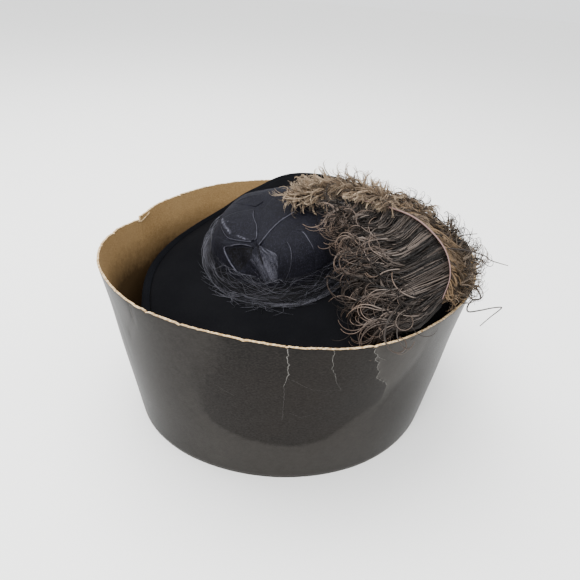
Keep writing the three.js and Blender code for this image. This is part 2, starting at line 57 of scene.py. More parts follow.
def addCamera():
    pitch = cameraSettings["pitch"] * deg
    roll = cameraSettings["roll"] * deg
    forward = Vector((0, math.cos(pitch), -math.sin(pitch)))
    level = Vector((1, 0, 0))
    rise = Vector((0, math.sin(pitch), math.cos(pitch)))
    right = level * math.cos(roll) + rise * math.sin(roll)
    up = rise * math.cos(roll) - level * math.sin(roll)
    data = bpy.data.cameras.new("photoCamera")
    data.sensor_width = 36
    data.lens = cameraSettings["lens"]
    data.clip_start = 0.01
    data.clip_end = 50
    camera = bpy.data.objects.new("photoCamera", data)
    turn = Matrix((right, up, -forward)).transposed()
    camera.matrix_world = Matrix.Translation(Vector(cameraSettings["place"]) * mm) @ turn.to_4x4()
    bpy.context.scene.collection.objects.link(camera)
    bpy.context.scene.camera = camera


addCamera()


# shape of the box and the hat, the same numbers as the solids

boxShape = {
    "long": 225,
    "short": 206,
    "turn": 19.5,
    "high": 210,
    "footScale": 0.888,
    "wall": 2.5,
    # bearing, rim height
    "rim": [(0, 208), (30, 204), (60, 204), (90, 208), (120, 209), (145, 207.5), (155, 207.5),
            (167, 202.5), (180, 209), (195, 214.5), (210, 218), (225, 217.5), (240, 219.5),
            (255, 219), (270, 214.5), (285, 210.5), (300, 208.5), (315, 210.5), (330, 210.5)],
    # how often round the oval it bulges, turned by how much, by what share
    "lobes": [(3, 7, 0.006), (4, -32, 0.009)],
    # bearing, height, depth, degrees across, millimetres tall
    "dents": [(322, 150, 3.5, 24, 60), (300, 90, 2, 20, 60), (214, 175, 3, 18, 45),
              (196, 215, -5, 24, 110)],
}

crownShape = {
    "spot": (-20, 42, 174),
    "pitch": 9,
    "roll": -4.3,
    "halfWidth": 91.5,
    "halfDepth": 98,
    "high": 60,
    # reach, rise, from the middle of the top to the foot
    "profile": [(0, 1), (0.2, 0.997), (0.45, 0.985), (0.66, 0.92), (0.8, 0.8), (0.88, 0.62),
                (0.955, 0.35), (1.0, 0.1), (1.06, 0)],
}

brimShape = {
    "thick": 2,
    "rollWide": 5,
    "rollThick": 3,
    "rimGap": 0.3,
    "wallGap": 0.6,
    # bearing, reach, height of the middle of the roll
    "edge": [(0, 202, 186), (30, 201, 200), (45, 203, 209), (60, 206, 215), (75, 211, 219),
             (88, 211, 219), (95, 206, 217), (101, 198, 213), (107, 196, 203), (114, 198, 191),
             (126, 197, 170), (140, 195, 157), (155, 192, 150), (170, 189, 145), (185, 185, 142),
             (195, 184, 140), (215, 187, 137), (240, 193, 134), (270, 196, 137), (300, 196, 149),
             (330, 200, 165)],
}


def clamp(value, high=1):
    return min(high, max(0, value))


def ease(a, b, m, n, t):
    # smooth step from a to b, leaving with slope m and arriving with slope n
    t2, t3 = t * t, t * t * t
    return (a * (2 * t3 - 3 * t2 + 1) + m * (t3 - 2 * t2 + t)
            + b * (3 * t2 - 2 * t3) + n * (t3 - t2))


def turnFrom(at, bearing):
    # degrees from one bearing to another, between -180 and 180
    return (bearing - at + 540) % 360 - 180


def readRound(rows, column, bearing):
    # value at a bearing, eased between the rows and round the circle
    count, first = len(rows), rows[0][0]
    turned = (bearing - first) % 360
    row = count - 1
    while row > 0 and rows[row][0] - first > turned:
        row -= 1
    near = range(row - 1, row + 3)
    place = [rows[i % count][0] - first + 360 * (i // count) for i in near]
    value = [rows[i % count][column] for i in near]
    span = place[2] - place[1]
    m = (value[2] - value[0]) / (place[2] - place[0]) * span
    n = (value[3] - value[1]) / (place[3] - place[1]) * span
    return ease(value[1], value[2], m, n, (turned - place[1]) / span)


def polar(reach, bearing, z):
    return Vector((reach * math.cos(bearing * deg), reach * math.sin(bearing * deg), z))


def boxRadius(bearing, z):
    turn = (bearing - boxShape["turn"]) * deg
    oval = 1 / math.hypot(math.cos(turn) / boxShape["long"], math.sin(turn) / boxShape["short"])
    lobes = sum(share * math.cos(times * (bearing + turned) * deg)
                for times, turned, share in boxShape["lobes"])
    taper = boxShape["footScale"] + (1 - boxShape["footScale"]) * z / boxShape["high"]
    dent = 0
    for at, height, depth, across, tall in boxShape["dents"]:
        side = turnFrom(at, bearing)
        dent += depth * math.exp(-(side / across) ** 2 - ((z - height) / tall) ** 2)
    return oval * (1 + lobes) * taper - dent


def rimHeight(bearing):
    return readRound(boxShape["rim"], 1, bearing)


hatPose = (Matrix.Rotation(crownShape["roll"] * deg, 4, "Y")
           @ Matrix.Rotation(crownShape["pitch"] * deg, 4, "X"))
hatPose.translation = Vector(crownShape["spot"])
hatUp = (hatPose.to_3x3() @ Vector((0, 0, 1))).normalized()


def brimPlane(x, y):
    spot = crownShape["spot"]
    return spot[2] - (hatUp.x * (x - spot[0]) + hatUp.y * (y - spot[1])) / hatUp.z


def profileShares():
    rows = crownShape["profile"]
    mean = (crownShape["halfWidth"] + crownShape["halfDepth"]) / 2
    sums = [0]
    for a, b in zip(rows, rows[1:]):
        wide, high = (b[0] - a[0]) * mean, (b[1] - a[1]) * crownShape["high"]
        sums.append(sums[-1] + math.hypot(wide, high))
    return [s / sums[-1] for s in sums]


crownShares = profileShares()


def profileAt(share):
    # reach and rise, eased between the rows
    rows = crownShape["profile"]
    last = len(rows) - 1
    row = 0
    while row < last - 1 and crownShares[row + 1] < share:
        row += 1
    span = crownShares[row + 1] - crownShares[row]
    t = (share - crownShares[row]) / span
    out = []
    for column in (0, 1):
        a, b = rows[row][column], rows[row + 1][column]
        before, after = max(row - 1, 0), min(row + 2, last)
        m = (b - rows[before][column]) / (crownShares[row + 1] - crownShares[before]) * span
        n = (rows[after][column] - a) / (crownShares[after] - crownShares[row]) * span
        if row == 0:
            m = 0 if column else b - a
        out.append(ease(a, b, m, n, t))
    return out


def crownLocal(bearing, share):
    reach, rise = profileAt(share)
    return Vector((crownShape["halfWidth"] * reach * math.cos(bearing * deg),
                   crownShape["halfDepth"] * reach * math.sin(bearing * deg),
                   crownShape["high"] * rise))


def crownPoint(bearing, share, lift=0):
    # share runs from 0 at the middle of the top to 1 at the foot of the crown
    here = crownLocal(bearing, share)
    if lift:
        probe, turn = 0.02, 2
        safe = max(share, probe)
        low, high = min(safe + probe, 0.999), max(safe - probe, 0.001)
        down = crownLocal(bearing, low) - crownLocal(bearing, high)
        across = crownLocal(bearing + turn, safe) - crownLocal(bearing - turn, safe)
        here += down.cross(across).normalized() * lift
    return hatPose @ here


def brimEdge(bearing):
    z = readRound(brimShape["edge"], 2, bearing)
    reach = readRound(brimShape["edge"], 1, bearing)
    if z - brimShape["rollThick"] < rimHeight(bearing) + brimShape["rimGap"]:
        free = boxRadius(bearing, z - 2 * brimShape["rollThick"]) - boxShape["wall"]
        reach = min(reach, free - brimShape["wallGap"] - brimShape["rollWide"])
    return polar(reach, bearing, z)


def brimPoint(bearing, step, drop=0):
    # step runs from 0 at the foot of the crown to 1 at the roll
    foot = crownPoint(bearing, 1)
    middle = brimEdge(bearing)
    reach = math.hypot(middle.x, middle.y)
    edge = polar(reach - brimShape["rollWide"] - 0.3, bearing, middle.z)
    x = foot.x + (edge.x - foot.x) * step
    y = foot.y + (edge.y - foot.y) * step
    lift = edge.z - brimPlane(edge.x, edge.y)
    return Vector((x, y, brimPlane(x, y) + lift * step ** 1.3 - drop))


def ripple(point, scale, seed=0):
    # smooth noise, about -1 to 1, that changes over 1/scale millimetres
    return noise.noise(Vector((point.x * scale + 31.7 * seed, point.y * scale, point.z * scale)))


madeCount = []  # triangles of each piece


def makeObject(name, points, faces, materials, slots=None, marks=None):
    mesh = bpy.data.meshes.new(name)
    mesh.from_pydata([(p.x * mm, p.y * mm, p.z * mm) for p in points], [], faces)
    for material in materials:
        mesh.materials.append(material)
    if slots:
        mesh.polygons.foreach_set("material_index", slots)
    mesh.polygons.foreach_set("use_smooth", [True] * len(mesh.polygons))
    for mark, values in (marks or {}).items():
        layer = mesh.attributes.new(mark, "FLOAT", "POINT")
        layer.data.foreach_set("value", values)
    mesh.update()
    madeCount.append(sum(len(face) - 2 for face in faces))
    piece = bpy.data.objects.new(name, mesh)
    bpy.context.scene.collection.objects.link(piece)
    return piece


def gridFaces(rows, columns, start=0, around=True, closeRows=False, flip=False):
    faces = []
    for i in range(rows if closeRows else rows - 1):
        low, high = start + i * columns, start + ((i + 1) % rows) * columns
        for j in range(columns if around else columns - 1):
            k = (j + 1) % columns
            face = (low + j, low + k, high + k, high + j)
            faces.append(face[::-1] if flip else face)
    return faces


def distanceTo(line, x, y):
    # nearest distance from x, y to a line of points
    best = math.inf
    for (ax, ay), (bx, by) in zip(line, line[1:]):
        dx, dy = bx - ax, by - ay
        t = clamp(((x - ax) * dx + (y - ay) * dy) / (dx * dx + dy * dy + 1e-9))
        best = min(best, math.hypot(x - ax - dx * t, y - ay - dy * t))
    return best


def insideLine(line, x, y):
    inside = False
    for (ax, ay), (bx, by) in zip(line, line[1:] + line[:1]):
        if (ay > y) != (by > y) and x < ax + (bx - ax) * (y - ay) / (by - ay):
            inside = not inside
    return inside


def planLine(rows):
    # places on the crown seen from above, from bearing and share
    return [Vector((s * math.cos(b * deg), s * math.sin(b * deg), 0)) for b, s in rows]


def alongLine(line, t):
    # smooth point along a short line of points
    count = len(line) - 1
    at = clamp(t) * count
    i = min(int(at), count - 1)
    u = at - i
    a, b = line[i], line[i + 1]
    before = line[i - 1] if i > 0 else a * 2 - b
    after = line[i + 2] if i + 2 <= count else b * 2 - a
    return ease(a, b, (b - before) / 2, (after - a) / 2, u)


def scatterBy(rng, *spans):
    # a random vector: each part lies within its span, or between the two numbers of a pair
    return Vector([rng.uniform(*(span if isinstance(span, tuple) else (-span, span)))
                   for span in spans])


def addNode(tree, kind, place, inputs=None, **settings):
    # a node with its inputs set to values or joined to outputs of other nodes
    node = tree.nodes.new(kind)
    node.location = place
    for key, value in settings.items():
        setattr(node, key, value)
    for key, value in (inputs or {}).items():
        if isinstance(value, bpy.types.NodeSocket):
            tree.links.new(value, node.inputs[key])
        else:
            node.inputs[key].default_value = value
    return node


def spreadValue(tree, place, value, low, high):
    node = addNode(tree, "ShaderNodeMapRange", place,
                   {"Value": value, "From Min": low, "From Max": high})
    return node.outputs["Result"]


def startGroup(name, inputs, outputs):
    # an empty shader node group, with the sockets that it is given and gives out
    group = bpy.data.node_groups.new(name, "ShaderNodeTree")
    for label, value in inputs.items():
        kind = "NodeSocketVector" if isinstance(value, tuple) else "NodeSocketFloat"
        group.interface.new_socket(label, in_out="INPUT", socket_type=kind).default_value = value
    for label in outputs:
        group.interface.new_socket(label, in_out="OUTPUT", socket_type="NodeSocketFloat")
    given = addNode(group, "NodeGroupInput", (-700, 0)).outputs
    out = addNode(group, "NodeGroupOutput", (500, 0)).inputs
    spot = addNode(group, "ShaderNodeTexCoord", (-700, -300)).outputs["Object"]
    return group, given, out, spot


def makeGrainGroup():
    # soft blotches and fine grain, for felt, paper, velvet and strands
    scales = {"Grain Scale": 900, "Blotch Scale": 14, "Stretch": (1, 1, 1)}
    group, given, out, spot = startGroup("grainAndBlotch", scales, ("Grain", "Blotch"))
    pulled = addNode(group, "ShaderNodeVectorMath", (-450, -200),
                     {0: spot, 1: given["Stretch"]}, operation="MULTIPLY")
    fine = addNode(group, "ShaderNodeTexNoise", (-200, 100),
                   {"Vector": pulled.outputs[0], "Scale": given["Grain Scale"],
                    "Detail": 3, "Roughness": 0.65})
    broad = addNode(group, "ShaderNodeTexNoise", (-200, -200),
                    {"Vector": spot, "Scale": given["Blotch Scale"],
                     "Detail": 4, "Roughness": 0.6})
    blotch = spreadValue(group, (80, -200), broad.outputs["Fac"], 0.32, 0.68)
    group.links.new(fine.outputs["Fac"], out["Grain"])
    group.links.new(blotch, out["Blotch"])
    return group


def makeMaskGroup():
    # a mask that follows a mark painted on the mesh, broken up by noise; it carries wear, dust,
    # bare felt, painted shade and painted sheen
    values = {"Mark": 0, "Break Scale": 300, "Break": 0.5}
    group, given, out, spot = startGroup("brokenMarkMask", values, ("Masked",))
    speckle = addNode(group, "ShaderNodeTexNoise", (-250, -200),
                      {"Vector": spot, "Scale": given["Break Scale"], "Detail": 4})
    less = addNode(group, "ShaderNodeMath", (-50, -150),
                   {0: speckle.outputs["Fac"], 1: given["Break"]}, operation="MULTIPLY")
    left = addNode(group, "ShaderNodeMath", (120, 0),
                   {0: given["Mark"], 1: less.outputs[0]}, operation="SUBTRACT")
    group.links.new(spreadValue(group, (300, 0), left.outputs[0], 0, 0.45), out["Masked"])
    return group


grainGroup = makeGrainGroup()
maskGroup = makeMaskGroup()


def startMaterial(name, roughness=0.8, sheen=0, sheenTint=(1, 1, 1), sheenRough=0.5, specular=0.3):
    material = bpy.data.materials.new(name)
    material.use_nodes = True
    tree = material.node_tree
    shader = tree.nodes["Principled BSDF"]
    shader.inputs["Roughness"].default_value = roughness
    shader.inputs["Sheen Weight"].default_value = sheen
    shader.inputs["Sheen Tint"].default_value = (*sheenTint, 1)
    shader.inputs["Sheen Roughness"].default_value = sheenRough
    shader.inputs["Specular IOR Level"].default_value = specular
    return material, tree, shader


def useGrain(tree, grain, blotch, stretch=(1, 1, 1)):
    scales = {"Grain Scale": grain, "Blotch Scale": blotch, "Stretch": stretch}
    node = addNode(tree, "ShaderNodeGroup", (-900, 0), scales, node_tree=grainGroup)
    return node.outputs["Grain"], node.outputs["Blotch"]


def readMark(tree, name, place=(-900, 200)):
    return addNode(tree, "ShaderNodeAttribute", place, attribute_name=name).outputs["Fac"]


def brokenMask(tree, place, mark, scale, gaps):
    # the mask of a mark on the mesh, broken up at a scale
    values = {"Mark": readMark(tree, mark, (-900, place[1])), "Break Scale": scale, "Break": gaps}
    return addNode(tree, "ShaderNodeGroup", place, values, node_tree=maskGroup).outputs["Masked"]


def mixColour(tree, place, factor, first, second):
    first, second = [(*tone, 1) if isinstance(tone, tuple) else tone for tone in (first, second)]
    node = addNode(tree, "ShaderNodeMix", place, {0: factor, 6: first, 7: second},
                   data_type="RGBA")
    return node.outputs[2]


def finishMaterial(tree, shader, tone, height, strength, distance):
    tree.links.new(tone, shader.inputs["Base Color"])
    bump = addNode(tree, "ShaderNodeBump", (-250, -400),
                   {"Height": height, "Strength": strength, "Distance": distance})
    tree.links.new(bump.outputs["Normal"], shader.inputs["Normal"])


def makePaper(name, base, blotch, light, roughness, specular, toneOfPeelAndShade=None):
    material, tree, shader = startMaterial(name, roughness=roughness, specular=specular)
    grain, patches = useGrain(tree, 420, 11, (1, 1, 2.6))
    tone = mixColour(tree, (-600, 100), patches, base, blotch)
    fine = spreadValue(tree, (-650, -150), grain, 0.4, 0.68)
    tone = mixColour(tree, (-400, 100), fine, tone, light)
    if toneOfPeelAndShade:
        # the mark mixes in dust and lifted paper on the cover, and painted shade on the inside
        # paper
        peelAndShade = brokenMask(tree, (-650, 350), "peelAndShade", 160, 0.2)
        tone = mixColour(tree, (-200, 200), peelAndShade, tone, toneOfPeelAndShade)
    finishMaterial(tree, shader, tone, grain, 0.18, 0.0005)
    return material


def makeFelt(name, base, light, scale, strength, sheen, roughness=0.95):
    material, tree, shader = startMaterial(name, roughness=roughness, sheen=sheen,
                                           sheenTint=(0.5, 0.55, 0.7), sheenRough=0.6,
                                           specular=0.03)
    grain, patches = useGrain(tree, scale, 18)
    tone = mixColour(tree, (-600, 100), patches, base, light)
    lint = spreadValue(tree, (-650, -150), grain, 0.62, 0.8)
    tone = mixColour(tree, (-400, 100), lint, tone, tuple(3 * part for part in light))
    finishMaterial(tree, shader, tone, grain, strength, 0.0012)
    return material


def makeVelvet(name, base, light, sheenAndWearTone, shadeAndBareTone):
    material, tree, shader = startMaterial(name, roughness=0.7, sheen=0.03,
                                           sheenTint=(0.42, 0.46, 0.62), sheenRough=0.3,
                                           specular=0.06)
    grain, patches = useGrain(tree, 800, 26, (1, 1, 0.7))
    tone = mixColour(tree, (-600, 100), patches, base, light)
    # the worn mark is wear along creases and fold edges, plus a painted sheen on the front and
    # upper left leaves
    wornAndSheen = brokenMask(tree, (-650, 350), "wornAndSheen", 1100, 0.75)
    tone = mixColour(tree, (-300, 200), wornAndSheen, tone, sheenAndWearTone)
    # bare felt in the hollow and the deep crease, painted darker than the felt as shade
    bareAndShade = brokenMask(tree, (-650, 600), "bareAndShade", 300, 0.2)
    tone = mixColour(tree, (-220, 350), bareAndShade, tone, shadeAndBareTone)
    dusty = spreadValue(tree, (-650, -150), grain, 0.5, 0.74)
    tone = mixColour(tree, (-150, 100), dusty, tone, tuple(4.5 * part for part in light))
    finishMaterial(tree, shader, tone, grain, 0.3, 0.0008)
    return material


def makeFibre(name, stops, dark, even=0.25, roughness=0.5, sheen=0):
    # stops: colour from root to tip; dark: the darkest strands; even: how alike strands are
    material, tree, shader = startMaterial(name, roughness=roughness, sheen=sheen,
                                           sheenTint=(1, 0.9, 0.8), specular=0.13)
    ramp = addNode(tree, "ShaderNodeValToRGB", (-650, 200), {"Fac": readMark(tree, "along")})
    while len(ramp.color_ramp.elements) < len(stops):
        ramp.color_ramp.elements.new(0.5)
    for element, (at, colour) in zip(ramp.color_ramp.elements, stops):
        element.position = at
        element.color = (*colour, 1)
    light = ramp.outputs["Color"]
    depth = spreadValue(tree, (-650, -100), readMark(tree, "tone", (-900, -100)), 0, 1)
    colour = mixColour(tree, (-350, 100), depth, dark, light)
    grain, patches = useGrain(tree, 1500, 60)
    less = addNode(tree, "ShaderNodeMath", (-350, -250), {0: patches, 1: even},
                   operation="MULTIPLY")
    colour = mixColour(tree, (-150, 100), less.outputs[0], colour, light)
    finishMaterial(tree, shader, colour, grain, 0.3, 0.0004)
    return material


# papers: base, blotches, light grain, roughness, gloss, and the tone of dusty or peeled places on
# the cover and of painted shade deep inside the box
paperTones = {
    "coverPaper": ((0.005, 0.0043, 0.0039), (0.0084, 0.0066, 0.0056), (0.0155, 0.0138, 0.0122),
                   0.36, 0.045, (0.034, 0.031, 0.028)),
    # its last tone is painted shade, darker deeper inside the box
    "insidePaper": ((0.242, 0.151, 0.066), (0.202, 0.12, 0.048), (0.305, 0.2, 0.092),
                    0.75, 0.1, (0.045, 0.026, 0.0105)),
    "tornPaper": ((0.36, 0.23, 0.1), (0.2, 0.12, 0.055), (0.66, 0.52, 0.33), 0.9, 0.05),
    "crackPaper": ((0.085, 0.082, 0.076), (0.05, 0.047, 0.042), (0.17, 0.165, 0.155), 0.85, 0.05),
    "scratchPaper": ((0.036, 0.034, 0.031), (0.02, 0.0185, 0.017), (0.06, 0.057, 0.053),
                     0.7, 0.1),
    "boardPaper": ((0.3, 0.19, 0.1), (0.24, 0.145, 0.07), (0.4, 0.28, 0.16), 0.85, 0.1),
}
papers = {name: makePaper(name, *row) for name, row in paperTones.items()}
brimFelt = makeFelt("brimFelt", (0.0028, 0.0029, 0.0036), (0.004, 0.0041, 0.0049), 1100, 0.5, 0)
edgeFelt = makeFelt("edgeFelt", (0.0016, 0.0017, 0.0024), (0.0024, 0.0026, 0.0036),
                    1300, 0.4, 0.012, 0.8)
crownVelvet = makeVelvet("crownVelvet", (0.0026, 0.0026, 0.0041), (0.0043, 0.0043, 0.0065),
                         (0.085, 0.085, 0.105), (0.0017, 0.0015, 0.0015))
wreathFibre = makeFibre("wreathFibre", [(0, (0.1, 0.1, 0.12)), (0.5, (0.17, 0.17, 0.2)),
                                        (1, (0.1, 0.1, 0.12))],
                        (0.0018, 0.0019, 0.0027), 0.03)
barbFibre = makeFibre("barbFibre", [(0, (0.06, 0.045, 0.036)), (0.35, (0.135, 0.11, 0.094)),
                                    (0.7, (0.16, 0.12, 0.098)), (1, (0.19, 0.13, 0.092))],
                      (0.002, 0.0015, 0.0013), 0.06, 0.45)
outerFibre = makeFibre("outerFibre", [(0, (0.17, 0.11, 0.06)), (0.35, (0.13, 0.09, 0.055)),
                                      (0.75, (0.13, 0.1, 0.075)), (1, (0.2, 0.155, 0.115))],
                       (0.004, 0.003, 0.0022), 0.12)
headFibre = makeFibre("headFibre", [(0, (0.035, 0.024, 0.016)), (0.4, (0.22, 0.155, 0.1)),
                                    (1, (0.55, 0.43, 0.3))],
                      (0.02, 0.014, 0.01), roughness=0.55, sheen=0.05)
shaftHorn = makeFibre("shaftHorn", [(0, (0.12, 0.08, 0.065)), (0.5, (0.2, 0.125, 0.115)),
                                    (1, (0.13, 0.08, 0.075))],
                      (0.1, 0.06, 0.055), roughness=0.4)
print("stage: materials made")


boxPiece = {
    "columns": 960,
    "outerRows": 44,
    "innerRows": 22,
    # height of the wall's slow waves and of the rim's torn line
    "wave": 0.35,
    "ragged": 0.75,
    # bearing, depth, half width in degrees of nicks in the rim
    "nicks": [(-90.2, 1.8, 0.5), (-66.4, 1.8, 0.8), (-78.3, 0.9, 0.4), (-101, 0.8, 0.7),
              (-118, 1.3, 0.6), (166.2, 4, 0.45), (-178, 2, 0.5), (144, 1.8, 0.3),
              (-30, 1.2, 1.2), (-12, 1.5, 1.5), (20, 1.4, 1.1), (70, 1.6, 1.4),
              (-128, 1.4, 0.5), (-141, 1.6, 0.6), (-152, 1.5, 0.7), (-160, 1.8, 0.5),
              (-168, 1.3, 0.4), (110, 0.9, 0.4), (149, 1.2, 0.35)],
    # torn paper below the rim outside and inside: least, even part, swells with their
    # power and scale, fine teeth with their scale, seed
    "outerTear": (0.25, 0.15, 1.9, 1.3, 0.1, 0.6, 0.5, 5),
    "innerTear": (0.3, 0.5, 2.2, 1.2, 0.09, 0.8, 0.6, 8),
    # lines of bearing and height where the board is bent, with their depth and width
    "creases": [([(-46.3, 211), (-46.3, 166), (-49, 150), (-54, 128), (-58.6, 99)], 0.22, 8),
                ([(-134, 218), (-135, 190), (-140, 163)], 0.35, 3.5),
                ([(-150, 216), (-147, 170), (-144, 120)], 0.2, 6),
                ([(-178.2, 209), (-179, 196), (-177, 186)], 0.4, 2.4),
                ([(144.4, 208), (143, 186), (146, 170)], 0.4, 2.4),
                ([(150, 200), (151, 180), (149, 165)], 0.3, 3),
                ([(166, 198), (166.5, 180), (168, 160)], 0.35, 2.5),
                ([(133, 205), (131, 190)], 0.3, 3)],
    # the torn line beside which the cover paper has lifted
    "flake": [(-67.4, 212), (-66.2, 207), (-66.6, 201), (-64.9, 195), (-65.3, 188),
              (-63.6, 183), (-63.8, 176), (-62.3, 168), (-62.9, 160), (-60.6, 152),
              (-58.4, 146), (-57.6, 141)],
    # other torn lines in the cover paper, with their width
    "cracks": [([(-90.2, 216), (-89.7, 206), (-89.9, 199), (-89.3, 191), (-89.5, 184),
                 (-89, 178), (-89.7, 171)], 0.9),
               ([(-89.7, 171), (-90.1, 160)], 0.4),
               ([(-78.3, 213), (-77.8, 205), (-78, 198), (-77.5, 192), (-77.6, 184),
                 (-76.6, 178), (-76, 172)], 0.6),
               ([(-76, 172), (-75.6, 165)], 0.35),
               ([(-134, 217), (-134.8, 204), (-134.6, 196), (-135.8, 190)], 0.5),
               ([(-65.2, 194.1), (-63.1, 187.6), (-61.5, 184.3)], 0.6)],
    # faint scratches, with their width
    "scratches": [([(-89.5, 171.4), (-87.5, 168.9), (-84.9, 161.7), (-81.9, 155.3),
                    (-78.4, 152.6), (-75.1, 152.5), (-73, 151.1)], 0.45),
                  ([(-69.9, 151.7), (-66.7, 156), (-64.8, 161.6), (-62.6, 163.4)], 0.45),
                  ([(-90.1, 160), (-89.9, 141.6), (-89.9, 122.5), (-90, 107.8)], 0.4),
                  ([(-75.6, 165), (-73.6, 151.6)], 0.35),
                  ([(-57.6, 141), (-54.9, 126.5)], 0.4),
                  ([(-126.9, 213), (-126.1, 205.8), (-128.8, 192.4)], 0.35),
                  ([(-53.8, 128), (-56, 114), (-58.6, 99), (-64, 80)], 0.45),
                  ([(-88, 120), (-84, 112), (-81, 118)], 0.35),
                  ([(-110, 150), (-104, 138)], 0.35),
                  ([(-57, 120), (-48, 108)], 0.4)],
    # edge of the dark stain, and how much dust lies round it
    "stain": [(-113.8, 103), (-111.8, 89), (-109.3, 82), (-102, 71), (-96, 67), (-86, 62),
              (-80, 66), (-75, 71), (-71.9, 82), (-65.5, 101), (-59.5, 116), (-55, 130),
              (-54, 160), (-58, 230), (-104, 230), (-105.7, 192), (-109.4, 168),
              (-112.3, 146), (-113.5, 124)],
    "dust": 0.24,
    # where the rim has torn and stepped, and the tongue of paper that hangs from it
    "tear": 166.2,
    "tongue": [(167.6, 199.5), (166.2, 197.6), (164.6, 198.2), (162.8, 200.4), (160.9, 203.2)],
}
# places of the wall's materials
paperSlots = {"cover": 0, "inside": 1, "torn": 2, "crack": 3, "scratch": 4}
wallStep = 215 * deg  # millimetres along the wall in one degree


def rimCut(bearing):
    # rim height with the fine torn line, its nicks and its step
    spot = polar(100, bearing, 0)
    ragged = boxPiece["ragged"] * (1.5 if 180 < bearing % 360 < 250 else 1)
    teeth = ripple(spot, 0.12, 1) + 0.7 * ripple(spot, 0.45, 2) + 0.5 * ripple(spot, 1.3, 4)
    z = rimHeight(bearing) + ragged * teeth
    for at, depth, half in boxPiece["nicks"]:
        side = abs(turnFrom(at, bearing))
        if side < half:
            z -= depth * (1 - side / half) ** 0.8
    past = turnFrom(boxPiece["tear"], bearing)
    if abs(past) < 14:
        z += (-1.5 if past > 0 else 1.1) * math.exp(-(past / 5) ** 2)
    return z


def tearDepth(bearing, least, even, swell, power, broad, teeth, fine, seed):
    # how far the paper has torn away below the rim
    spot = polar(100, bearing, 0)
    swells = max(0, ripple(spot, broad, seed)) ** power
    return max(least, even + swell * swells + teeth * ripple(spot, fine, seed + 1))


def unroll(line):
    # a line of bearings and heights in millimetres on the wall laid flat
    return [(bearing * wallStep, z) for bearing, z in line]


flatCreases = [(unroll(line), line[0][0], *row) for line, *row in boxPiece["creases"]]
flatStain = unroll(boxPiece["stain"])


def stainShare(side, z):
    # how far a place lies outside the dark stain, from 0 to 1, more softly higher up
    spot = (side * wallStep, z)
    soft = 4 + 20 * clamp((z - 100) / 60)
    edge = distanceTo(flatStain + flatStain[:1], *spot) / (2 * soft)
    return clamp(0.5 - edge if insideLine(flatStain, *spot) else 0.5 + edge)


def flakePeel(side, z):
    # how far the cover paper has lifted at the right of the flake's line
    line = boxPiece["flake"]
    if not (-68 < side < -20 and z > 110):
        return 0
    at = line[-1][0]
    for (ab, az), (bb, bz) in zip(line, line[1:]):
        if bz <= z <= az:
            at = ab + (bb - ab) * (az - z) / (az - bz)
    low = 112 + (side + 57) * 3
    if side <= at or z <= low:
        return 0
    broad = 0.34 * clamp((z - low) / 30) * max(0, 1 - max(0, side + 55) / 22)
    return broad + 0.3 * math.exp(-(side - at) / 1.2) * clamp((z - low) / 25)


def wallMarks(bearing, z, inside):
    # radial change of the wall at a place, and its mark: dust and lifted paper outside, painted
    # shade inside
    side = turnFrom(0, bearing)
    shift = 0
    for line, start, depth, width in flatCreases:
        if abs(side - start) < 25:
            d = distanceTo(line, side * wallStep, z)
            if d < width * 3:
                shift -= depth * math.exp(-(d / width) ** 2)
    if inside:
        # painted shade: the inside wall gets darker further below the rim
        return shift, clamp((rimHeight(bearing) - 15 - z) / 95, 0.6)
    dust = boxPiece["dust"] + 0.14 * max(0, 1 - z / 130)
    dust *= max(0, 1 - max(0, abs(side + 87) - 24) / 34)
    return shift, dust * stainShare(side, z) + flakePeel(side, z)


def wallPoint(bearing, z, inset, inside=False):
    # a place on the wall, so far in from its outer face, and its mark: dust and lifted paper
    # outside, painted shade inside
    shift, peelAndShade = wallMarks(bearing, z, inside)
    radius = boxRadius(bearing, z)
    wave = boxPiece["wave"] * ripple(polar(radius, bearing, z), 0.02, 3)
    return polar(radius - inset + shift + wave, bearing, z), peelAndShade


def addMark(points, line, width, rise, slant):
    # raised torn paper along a line, three points across; gives the number of steps
    pieces, steps = 8, 0
    for here, ahead in zip(line, line[1:]):
        for k in range(pieces + (ahead == line[-1])):
            t = k / pieces
            b, z = here[0] + (ahead[0] - here[0]) * t, here[1] + (ahead[1] - here[1]) * t
            z = min(z, rimCut(b) - 1.4)
            spot = Vector((b * 3, z, 0))
            wobble = 1.3 * ripple(spot, 0.37, 11) / 3.7
            half = width * (0.35 + 0.45 * abs(ripple(spot, 0.5, 12))) / 3.75
            ends = 0.25 if steps == 0 else 1
            for side in (-1, 0, 1):
                z += side * width * slant
                out = 0.04 if side else rise
                points.append(wallPoint(b + wobble + side * half * ends, z, -out)[0])
            steps += 1
    return steps


